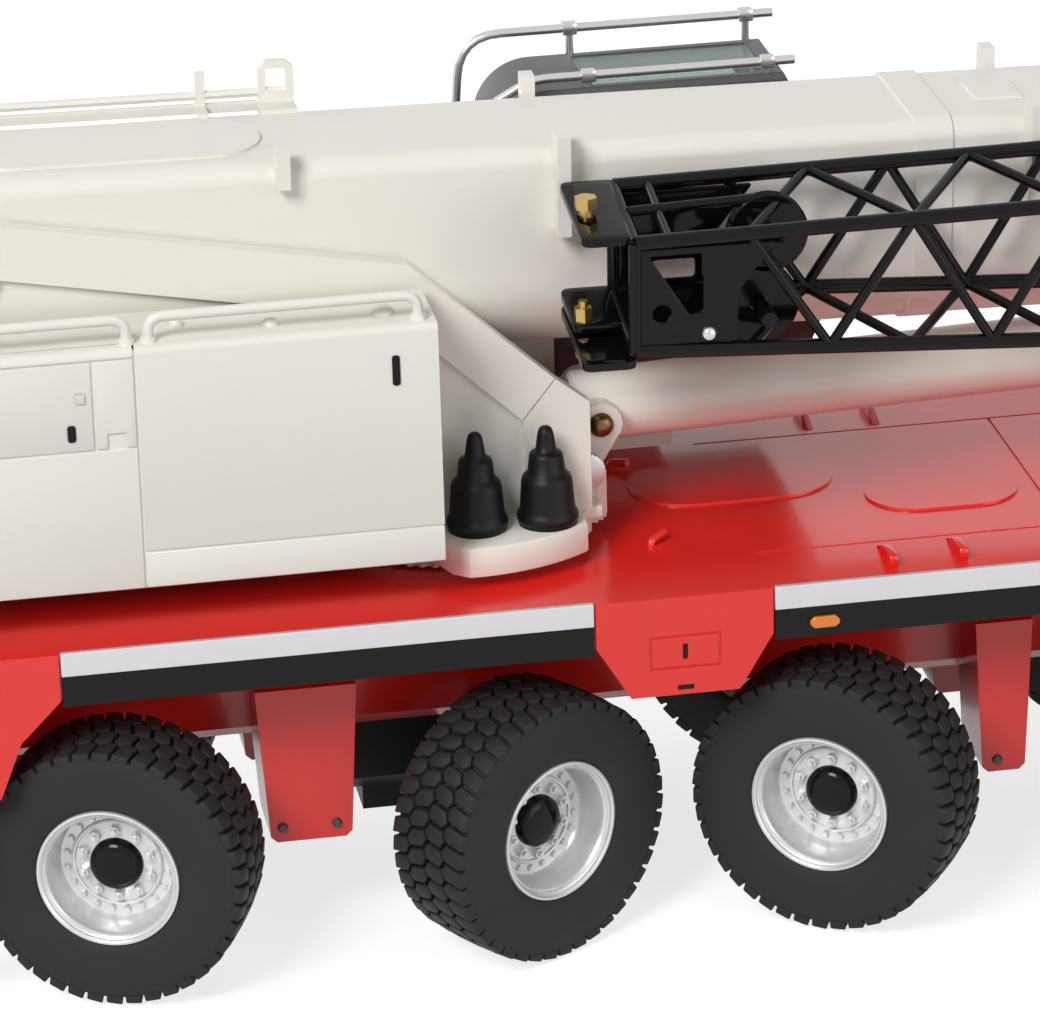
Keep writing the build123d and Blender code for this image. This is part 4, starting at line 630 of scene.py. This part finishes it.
boltSet = {
    "shankSides": 24,
    "headSides": 6,
    "brass": (
        {"foot": (13.7, -21.9, 88.6), "shank": 0.85, "length": 2.6, "head": 1.35, "from": 1.4, "height": 1.3},
        {"foot": (13.2, -21.4, 76.1), "shank": 0.55, "length": 2.7, "head": 1.08, "from": 0.2, "height": 1.7},
        {"foot": (13.0, -22.2, 72.4), "shank": 0.6, "length": 2.0, "head": 1.05, "from": 0.0, "height": 1.3},
    ),
    "rivet": (26.3, -28.4, 76.1),
    "rivetOutline": ((0.9, 0.0), (0.85, 0.25), (0.55, 0.55), (0.0, 0.68)),
    "rivetSteps": 24,
    "pinHead": (17.5, -6.95, 57.9),
    "pinOutline": ((1.5, 0.0), (1.45, 0.4), (1.1, 0.85), (0.5, 1.05), (0.0, 1.1)),
    "pinSteps": 32,
}


def addBolts(shape):
    mesh = bmesh.new()
    for bolt in shape["brass"]:
        foot = spot(*bolt["foot"])
        stud(mesh, standing(foot), shape["shankSides"], bolt["shank"], bolt["shank"], bolt["length"])
        seat = standing(foot + Vector((0, 0, bolt["from"])) * mm)
        stud(mesh, seat, shape["headSides"], bolt["head"], bolt["head"], bolt["height"])
    settle("jibBolts", mesh, "brass", "boom", (), 25)
    mesh = lathe(shape["rivetOutline"], shape["rivetSteps"])
    mesh.transform(Matrix.Translation(spot(*shape["rivet"])) @ Matrix.Rotation(math.pi, 4, "Z"))
    settle("jibRivet", mesh, "bareSteel", "boom")
    mesh = lathe(shape["pinOutline"], shape["pinSteps"])
    mesh.transform(Matrix.Translation(spot(*shape["pinHead"])) @ Matrix.Rotation(math.pi, 4, "Z"))
    settle("luffPinHead", mesh, "bronze", "luff_barrel")


addBolts(boltSet)
print("bolts in")

# rails

railSet = {
    "thick": 0.62,
    "bend": 1.9,
    "housing": ((-71.1, -39.05), (-36.6, -6.1)),
    "housingY": -24.1,
    "housingFoot": 79.3,
    "housingRise": 2.9,
    "tank": (-69.2, -9.8),
    "tankY": 22.2,
    "tankFoot": 71.3,
    "tankRise": 9.0,
    "flange": (24, 0.95, 0.85, 0.55),
    "cabThick": 0.55,
    "cabBends": (2.0, 5.0),
    "cabStay": (0.6, 2.6),
    "cabNear": ((9.8, 15.6, 91.2), (14.2, 15.6, 93.6), (46.0, 15.6, 93.6)),
    "cabFar": ((6.6, 28.0, 84.0), (7.6, 28.0, 95.8), (46.0, 28.0, 95.8)),
    "cabPosts": (21.0, 42.7),
    "cabPost": 0.5,
    "cabRoof": 92.3,
    "clamp": (0.9, 0.75, 0.75),
    "clampEdge": 0.2,
}


def hoop(ends, y, foot, rise, bend):
    corners = ((ends[0], foot), (ends[0], foot + rise), (ends[1], foot + rise), (ends[1], foot))
    return bent([spot(x, y, z) for x, z in corners], bend)


def addRails(shape):
    y, foot, rise, bend = (shape[key] for key in ("housingY", "housingFoot", "housingRise", "bend"))
    runs = [hoop(ends, y, foot, rise, bend) for ends in shape["housing"]]
    runs.append(hoop(shape["tank"], shape["tankY"], shape["tankFoot"], shape["tankRise"], bend))
    mesh = pipes(runs, shape["thick"], 5)
    for run in runs:
        for foot in (run[0], run[-1]):
            stud(mesh, standing(foot), *shape["flange"])
    settle("handRails", mesh, "creamPaint", "superstructure", ("hand_rails",))
    near, far = [spot(*point) for point in shape["cabNear"]], [spot(*point) for point in shape["cabFar"]]
    (nearBend, farBend), (rise, stay) = shape["cabBends"], shape["cabStay"]
    brace = (far[0] + Vector((0, 0, rise)) * mm, far[0] + Vector((stay, 0, rise)) * mm)
    mesh = pipes([bent(near, nearBend), bent(far, farBend), brace], shape["cabThick"], 5)
    clamp = Vector(shape["clamp"]) * mm
    for x in shape["cabPosts"]:
        for rail in (near, far):
            foot = spot(x, rail[0].y / mm, shape["cabRoof"])
            head = Vector((foot.x, rail[2].y, rail[2].z))
            join(mesh, pipes([(foot, head)], shape["cabPost"], 4))
            slab(mesh, head - clamp, head + clamp, shape["clampEdge"])
    settle("cabRails", mesh, "bareSteel", "operator_cab", ("upper_cab_rails",))


addRails(railSet)
print("rails fixed")

# rubber cones on the platform

coneSet = {
    "places": ((1.1, -15.8), (9.4, -15.7)),
    "foot": 49.9,
    "steps": 40,
    "outline": (
        (0.0, 0.0), (3.45, 0.0), (3.5, 0.5), (3.6, 0.6), (3.62, 1.1), (3.5, 1.45), (3.3, 1.75), (3.22, 2.1),
        (3.0, 5.2), (2.85, 5.75), (2.45, 6.2), (2.2, 6.5), (2.0, 8.3), (1.85, 8.65), (1.45, 8.85), (1.22, 9.0),
        (1.1, 10.0), (0.95, 11.0), (0.75, 11.6), (0.45, 11.85), (0.0, 11.9),
    ),
}


def addCones(shape):
    mesh = bmesh.new()
    for x, y in shape["places"]:
        join(mesh, lathe(shape["outline"], shape["steps"]), shifted(x, y, shape["foot"]) @ sideOn)
    settle("stowageCones", mesh, "satinBlack", "superstructure", ("stowage_cones",), 50)


addCones(coneSet)
print("cones set")

# machinery housing with its panels, slots and lock

housingSet = {
    "face": -26.0,
    "back": -14.2,
    "ends": (-73.0, -4.2),
    "foot": 50.5,
    "roof": 79.3,
    "round": 0.9,
    "skin": 1.9,
    "panelBack": 2.0,
    "panelDepth": 0.25,
    "edge": 0.1,
    "touch": 0.1,
    "coreEnd": 0.1,
    "coreFoot": 0.05,
    "coreRoof": 0.4,
    "gap": 0.14,
    "seam": -38.5,
    "door": -43.3,
    "doorFoot": 67.5,
    "doorTop": 78.1,
    "sill": 54.8,
    "notch": (-41.9, -39.8, 69.4),
    "slots": ((-45.9, 69.8, 0.95, 2.0), (-9.1, 74.05, 0.9, 3.6)),
    "slotForm": (0.2, 0.05, 0.05),
    "slotBend": 0.4,
    "lock": (-44.8, 74.0, 1.1, 1.3),
    "lockForm": (0.3, 0.12),
    "bosses": ((-33.0, -19.7, 0.9), (-22.6, -21.9, 1.0), (-9.7, -21.1, 1.4)),
    "bossOutline": ((1.0, -0.1), (0.93, 0.3), (0.6, 0.7), (0.0, 0.85)),
    "bossSteps": 32,
}


def panel(mesh, shape, corners, topped):
    # panels stand a little proud of the housing wall
    (x0, z0), (x1, z1) = corners
    part = bmesh.new()
    low, high = spot(x0, shape["face"], z0), spot(x1, shape["face"] + shape["panelBack"], z1)
    bmesh.ops.create_cube(part, size=1, matrix=Matrix.LocRotScale((low + high) / 2, None, high - low))
    touch = shape["touch"] * mm
    outer = [edge for edge in part.edges if all(vert.co.y < low.y + touch for vert in edge.verts)]
    crest = [edge for edge in outer if topped and all(vert.co.z > high.z - touch for vert in edge.verts)]
    rest = [edge for edge in outer if edge not in crest]
    if crest:
        softened(part, crest, shape["round"], 5)
        rest = [edge for edge in rest if edge.is_valid]
    softened(part, rest, shape["edge"], 2)
    join(mesh, part)


def addHousing(shape):
    (rear, front), foot, roof, gap = shape["ends"], shape["foot"], shape["roof"], shape["gap"]
    seam, door, doorFoot, doorTop, sill = (shape[key] for key in ("seam", "door", "doorFoot", "doorTop", "sill"))
    mesh = bmesh.new()
    face, back, skin, end = (shape[key] for key in ("face", "back", "skin", "coreEnd"))
    slab(mesh, spot(rear, face + skin, foot), spot(front, back, roof))
    core = spot(rear + end, face + shape["panelDepth"], foot + shape["coreFoot"])
    slab(mesh, core, spot(front - end, back, roof - shape["coreRoof"]))
    panel(mesh, shape, ((seam + gap, sill + gap), (front, roof)), True)
    panel(mesh, shape, ((seam + gap, foot), (front, sill - gap)), False)
    panel(mesh, shape, ((rear, foot), (seam - gap, doorFoot - gap)), False)
    panel(mesh, shape, ((rear, doorFoot + gap), (door - gap, doorTop - gap)), False)
    left, right, top = shape["notch"]
    low, high = doorFoot + gap, doorTop - gap
    outline = (
        (door + gap, low), (left, low), (left, top), (right, top), (right, low), (seam - gap, low), (seam - gap, high),
        (door + gap, high),
    )
    join(mesh, plate((outline,), skin, shape["edge"]), shifted(0, face + skin, 0) @ sideOn)
    panel(mesh, shape, ((rear, doorTop + gap), (seam - gap, roof)), True)
    source = bmesh.new()
    source.from_mesh(cad["machinery_housings"].data)
    bmesh.ops.delete(source, geom=[vert for vert in source.verts if vert.co.y < 0], context="VERTS")
    join(mesh, source)
    settle("machineryHousings", mesh, "creamPaint", "superstructure", ("machinery_housings",), 30)


def addHousingFittings(shape):
    mesh = bmesh.new()
    thick, edge, sunk = shape["slotForm"]
    for x, z, width, height in shape["slots"]:
        side, end = width / 2, height / 2
        outline = softLoop(((-side, -end), (-side, end), (side, end), (side, -end)), width * shape["slotBend"])
        join(mesh, plate((outline,), thick, edge), shifted(x, shape["face"] + sunk, z) @ sideOn)
    settle("housingSlots", mesh, "glossBlack", "superstructure")
    (x, z, width, height), (thick, edge) = shape["lock"], shape["lockForm"]
    low = spot(x - width / 2, shape["face"] - thick, z - height / 2)
    high = spot(x + width / 2, shape["face"], z + height / 2)
    mesh = bmesh.new()
    slab(mesh, low, high, edge)
    settle("housingLock", mesh, "bareSteel", "superstructure")
    mesh = bmesh.new()
    for x, y, radius in shape["bosses"]:
        outline = [(radius * share, rise) for share, rise in shape["bossOutline"]]
        join(mesh, lathe(outline, shape["bossSteps"]), shifted(x, y, shape["roof"]) @ sideOn)
    settle("housingBosses", mesh, "creamPaint", "superstructure")


addHousing(housingSet)
addHousingFittings(housingSet)
print("housing fitted")

# platform lip, front plate and knurled knob

lipSet = {
    "levels": (46.2, 49.9),
    "radius": 22.0,
    "edge": 0.3,
    "trim": 21.4,
    "trimFrom": (-5.0, -16.2),
    "trimLevels": (46.0, 50.0),
    "wing": ((-4.1, -11.0), (-4.1, -16.8), (-2.7, -20.4)),
    "sweep": (-92.2, -51.0),
    "sweepSteps": 16,
    "end": (13.8, -11.0),
    "plate": ((12.0, -12.0, 48.3), (16.6, 12.0, 49.7)),
    "plateEdge": 0.2,
    "knob": (15.2, -9.8, 53.1),
    "knobOutline": ((0.0, 0.0), (1.9, 0.0), (2.3, 0.2), (2.3, 1.3), (1.9, 1.5), (0.0, 1.5)),
    "knobTeeth": 26,
    "toothFoot": 0.94,
}


def trimLip(mesh):
    # the edge of the copied platform is drawn in to the curve of the lip
    (fromX, fromY), (low, high), trim = (lipSet[key] for key in ("trimFrom", "trimLevels", "trim"))
    for vert in mesh.verts:
        x, y, z = vert.co.x / mm - slewX, vert.co.y / mm, vert.co.z / mm
        reach = math.hypot(x, y)
        if x > fromX and y < fromY and low < z < high and reach > trim:
            vert.co.x = (x * trim / reach + slewX) * mm
            vert.co.y = y * trim / reach * mm


def addLip(shape):
    low, high = shape["levels"]
    (start, stop), steps = shape["sweep"], shape["sweepSteps"]
    angles = [math.radians(start + (stop - start) * i / steps) for i in range(steps + 1)]
    curve = [(shape["radius"] * math.cos(turn), shape["radius"] * math.sin(turn)) for turn in angles]
    mesh = plate(((*shape["wing"], *curve, shape["end"]),), high - low, shape["edge"])
    mesh.transform(shifted(0, 0, low))
    slab(mesh, *(spot(*corner) for corner in shape["plate"]), shape["plateEdge"])
    settle("platformLip", mesh, "creamPaint", "superstructure")
    mesh = lathe(shape["knobOutline"], 2 * shape["knobTeeth"])
    for vert in mesh.verts:
        step = round(math.atan2(vert.co.z, vert.co.x) / math.tau * 2 * shape["knobTeeth"])
        if step % 2:
            vert.co.x *= shape["toothFoot"]
            vert.co.z *= shape["toothFoot"]
    mesh.transform(shifted(*shape["knob"]))
    settle("slewKnob", mesh, "silverPaint", "superstructure")


addLip(lipSet)
print("lip rounded")

# lugs, hatch slots and bolts of the carrier, drawn on the right and mirrored

carrierSet = {
    "deckTop": 44.5,
    "oldLugs": ((49.4, 21.6), (57.4, 22.8), (23.0, 11.0), (96.0, 22.0)),
    "oldReach": (1.5, 1.0),
    "oldTips": (45.2, 46.0),
    "lugs": ((48.2, -22.3), (56.6, -22.0), (95.5, -22.0)),
    "lugOutline": ((-3.8, -0.2), (-3.8, 1.45), (0.2, 1.3), (3.4, -0.2)),
    "lugThick": 1.1,
    "lugBend": 0.6,
    "lugEdge": 0.25,
    "hookThick": 0.5,
    "hookBend": 0.6,
    "hook": ((22.0, -13.0, 44.3), (22.0, -13.0, 45.1), (23.9, -11.4, 45.45)),
    "slots": (((22.5, 36.75), (23.1, 38.65)), ((21.85, 32.9), (23.75, 33.5))),
    "slotDepth": (0.03, 0.5),
    "side": 29.0,
    "bolts": ((-23.4, 14.8), (-17.0, 14.8), (62.9, 14.5)),
    "boltOutline": ((0.62, 0.1), (0.6, -0.15), (0.45, -0.4), (0.0, -0.5)),
    "boltSteps": 24,
    "hanger": 17.0,
}


def clearLugs(mesh):
    # the copied deck loses the plain lugs of the solid
    (along, across), (low, high), lugs = (carrierSet[key] for key in ("oldReach", "oldTips", "oldLugs"))
    tips = []
    for vert in mesh.verts:
        x, y, z = vert.co.x / mm - slewX, abs(vert.co.y) / mm, vert.co.z / mm
        if low < z < high and any(abs(x - lugX) < along and abs(y - lugY) < across for lugX, lugY in lugs):
            tips.append(vert)
    bmesh.ops.delete(mesh, geom=tips, context="VERTS")
    bmesh.ops.holes_fill(mesh, edges=[edge for edge in mesh.edges if edge.is_boundary], sides=0)


def bothSides(mesh):
    part = mesh.copy()
    bmesh.ops.scale(part, vec=(1, -1, 1), verts=part.verts)
    bmesh.ops.reverse_faces(part, faces=part.faces)
    join(mesh, part)
    return mesh


def addCarrierFittings(shape):
    upright = Matrix(((0, 0, 1, 0), (1, 0, 0, 0), (0, 1, 0, 0), (0, 0, 0, 1)))
    mesh = pipes([bent([spot(*point) for point in shape["hook"]], shape["hookBend"])], shape["hookThick"], 4)
    for x, y in shape["lugs"]:
        fin = plate((softLoop(shape["lugOutline"], shape["lugBend"]),), shape["lugThick"], shape["lugEdge"])
        join(mesh, fin, shifted(x - shape["lugThick"] / 2, y, shape["deckTop"]) @ upright)
    settle("deckLugs", bothSides(mesh), "redGloss", cad["deck"]["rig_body"])
    mesh = bmesh.new()
    outer, inner = (depth - shape["side"] for depth in shape["slotDepth"])
    for (x0, z0), (x1, z1) in shape["slots"]:
        slab(mesh, spot(x0, outer, z0), spot(x1, inner, z1))
    settle("hatchSlots", bothSides(mesh), "satinBlack", cad["deck"]["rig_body"])
    mesh = bmesh.new()
    for x, z in shape["bolts"]:
        join(mesh, lathe(shape["boltOutline"], shape["boltSteps"]), shifted(x, -shape["hanger"], z))
    settle("hangerBolts", bothSides(mesh), "cabGrey", cad["chassis_frame"]["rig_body"])


addCarrierFittings(carrierSet)
print("carrier fitted")

# softened copies of the other solids

ownPieces = {"lattice_jib", "hand_rails", "upper_cab_rails", "stowage_cones", "machinery_housings"}
softEdge = {
    "deck": 0.14, "turntable": 0.2, "boom_base": 0.2, "chassis_frame": 0.2, "upper_cab": 0.25,
    "carrier_cab": 0.25, "counterweight": 0.14, "front_bumper": 0.25,
}
plainEdge = 0.12
softRule = {"weld": 0.002, "flat": 0.6, "crease": 40, "shade": 30, "steps": 2}
reshape = {"turntable": trimLip, "deck": clearLugs}


def soften(name, width):
    mesh = bmesh.new()
    mesh.from_mesh(cad[name].data)
    bmesh.ops.remove_doubles(mesh, verts=mesh.verts, dist=softRule["weld"] * mm)
    flat, crease = math.radians(softRule["flat"]), math.radians(softRule["crease"])
    bmesh.ops.dissolve_limit(mesh, angle_limit=flat, verts=mesh.verts, edges=mesh.edges)
    if name in reshape:
        reshape[name](mesh)
    sharp = [edge for edge in mesh.edges if edge.is_manifold and edge.calc_face_angle(0) > crease]
    softened(mesh, sharp, width, softRule["steps"], True)
    piece = settle(name + "Soft", mesh, nodeLook[name], cad[name]["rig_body"], (name,), softRule["shade"])
    weigh = piece.modifiers.new("evenShade", "WEIGHTED_NORMAL")
    weigh.keep_sharp = True


for name, look in nodeLook.items():
    if name not in ownPieces and look != "tintedGlass" and not name.startswith("wheel"):
        soften(name, softEdge.get(name, plainEdge))
print("edges softened")

# studio

studio = {
    "floor": 6.0,
    "floorColour": (0.38, 0.38, 0.38),
    "floorGlow": 0.76,
    "floorRough": 0.9,
    "skyLight": 0.25,
    "lampAim": Vector((0, 0, 0.05)),
    "lamps": (
        ("keyLamp", (-0.75, -0.85, 0.95), 0.5, 15.8),
        ("fillLamp", (0.80, -0.90, 0.40), 0.8, 3.6),
        ("backLamp", (-0.95, 0.85, 0.55), 0.9, 6.5),
    ),
}


def addStudio(setup):
    mesh = bmesh.new()
    bmesh.ops.create_grid(mesh, x_segments=1, y_segments=1, size=setup["floor"] / 2)
    floor = bpy.data.objects.new("studioFloor", bpy.data.meshes.new("studioFloor"))
    mesh.to_mesh(floor.data)
    mesh.free()
    bpy.context.scene.collection.objects.link(floor)
    floor.data.materials.append(paleFloor(setup))
    for name, place, size, power in setup["lamps"]:
        lamp = bpy.data.objects.new(name, bpy.data.lights.new(name, "AREA"))
        lamp.data.size = size
        lamp.data.energy = power
        lamp.location = place
        lamp.rotation_euler = (setup["lampAim"] - Vector(place)).to_track_quat("-Z", "Y").to_euler()
        bpy.context.scene.collection.objects.link(lamp)


def seenWhite(nodes, links):
    path = nodes.new("ShaderNodeLightPath")
    last = path.outputs["Is Camera Ray"]
    for kind in ("Is Glossy Ray", "Is Transmission Ray"):
        either = nodes.new("ShaderNodeMath")
        either.operation = "MAXIMUM"
        links.new(last, either.inputs[0])
        links.new(path.outputs[kind], either.inputs[1])
        last = either.outputs["Value"]
    return last


def paleFloor(setup):
    # white to the camera and in reflections, with the shadow kept
    material = bpy.data.materials.new("paleFloor")
    material.use_nodes = True
    nodes, links = material.node_tree.nodes, material.node_tree.links
    shader = nodes["Principled BSDF"]
    shader.inputs["Base Color"].default_value = (*setup["floorColour"], 1)
    shader.inputs["Roughness"].default_value = setup["floorRough"]
    shader.inputs["Emission Color"].default_value = (1, 1, 1, 1)
    lift = nodes.new("ShaderNodeMath")
    lift.operation = "MULTIPLY"
    lift.inputs[1].default_value = setup["floorGlow"]
    links.new(seenWhite(nodes, links), lift.inputs[0])
    links.new(lift.outputs["Value"], shader.inputs["Emission Strength"])
    return material


def addWorld(light):
    world = bpy.data.worlds.new("studioSky")
    world.use_nodes = True
    nodes, links = world.node_tree.nodes, world.node_tree.links
    sky, white, mix = nodes["Background"], nodes.new("ShaderNodeBackground"), nodes.new("ShaderNodeMixShader")
    sky.inputs["Color"].default_value = (1, 1, 1, 1)
    sky.inputs["Strength"].default_value = light
    white.inputs["Color"].default_value = (1, 1, 1, 1)
    links.new(seenWhite(nodes, links), mix.inputs["Fac"])
    links.new(sky.outputs["Background"], mix.inputs[1])
    links.new(white.outputs["Background"], mix.inputs[2])
    links.new(mix.outputs["Shader"], nodes["World Output"].inputs["Surface"])
    bpy.context.scene.world = world


addStudio(studio)
addWorld(studio["skyLight"])
bpy.context.scene.view_settings.view_transform = "Standard"
print("studio lit")
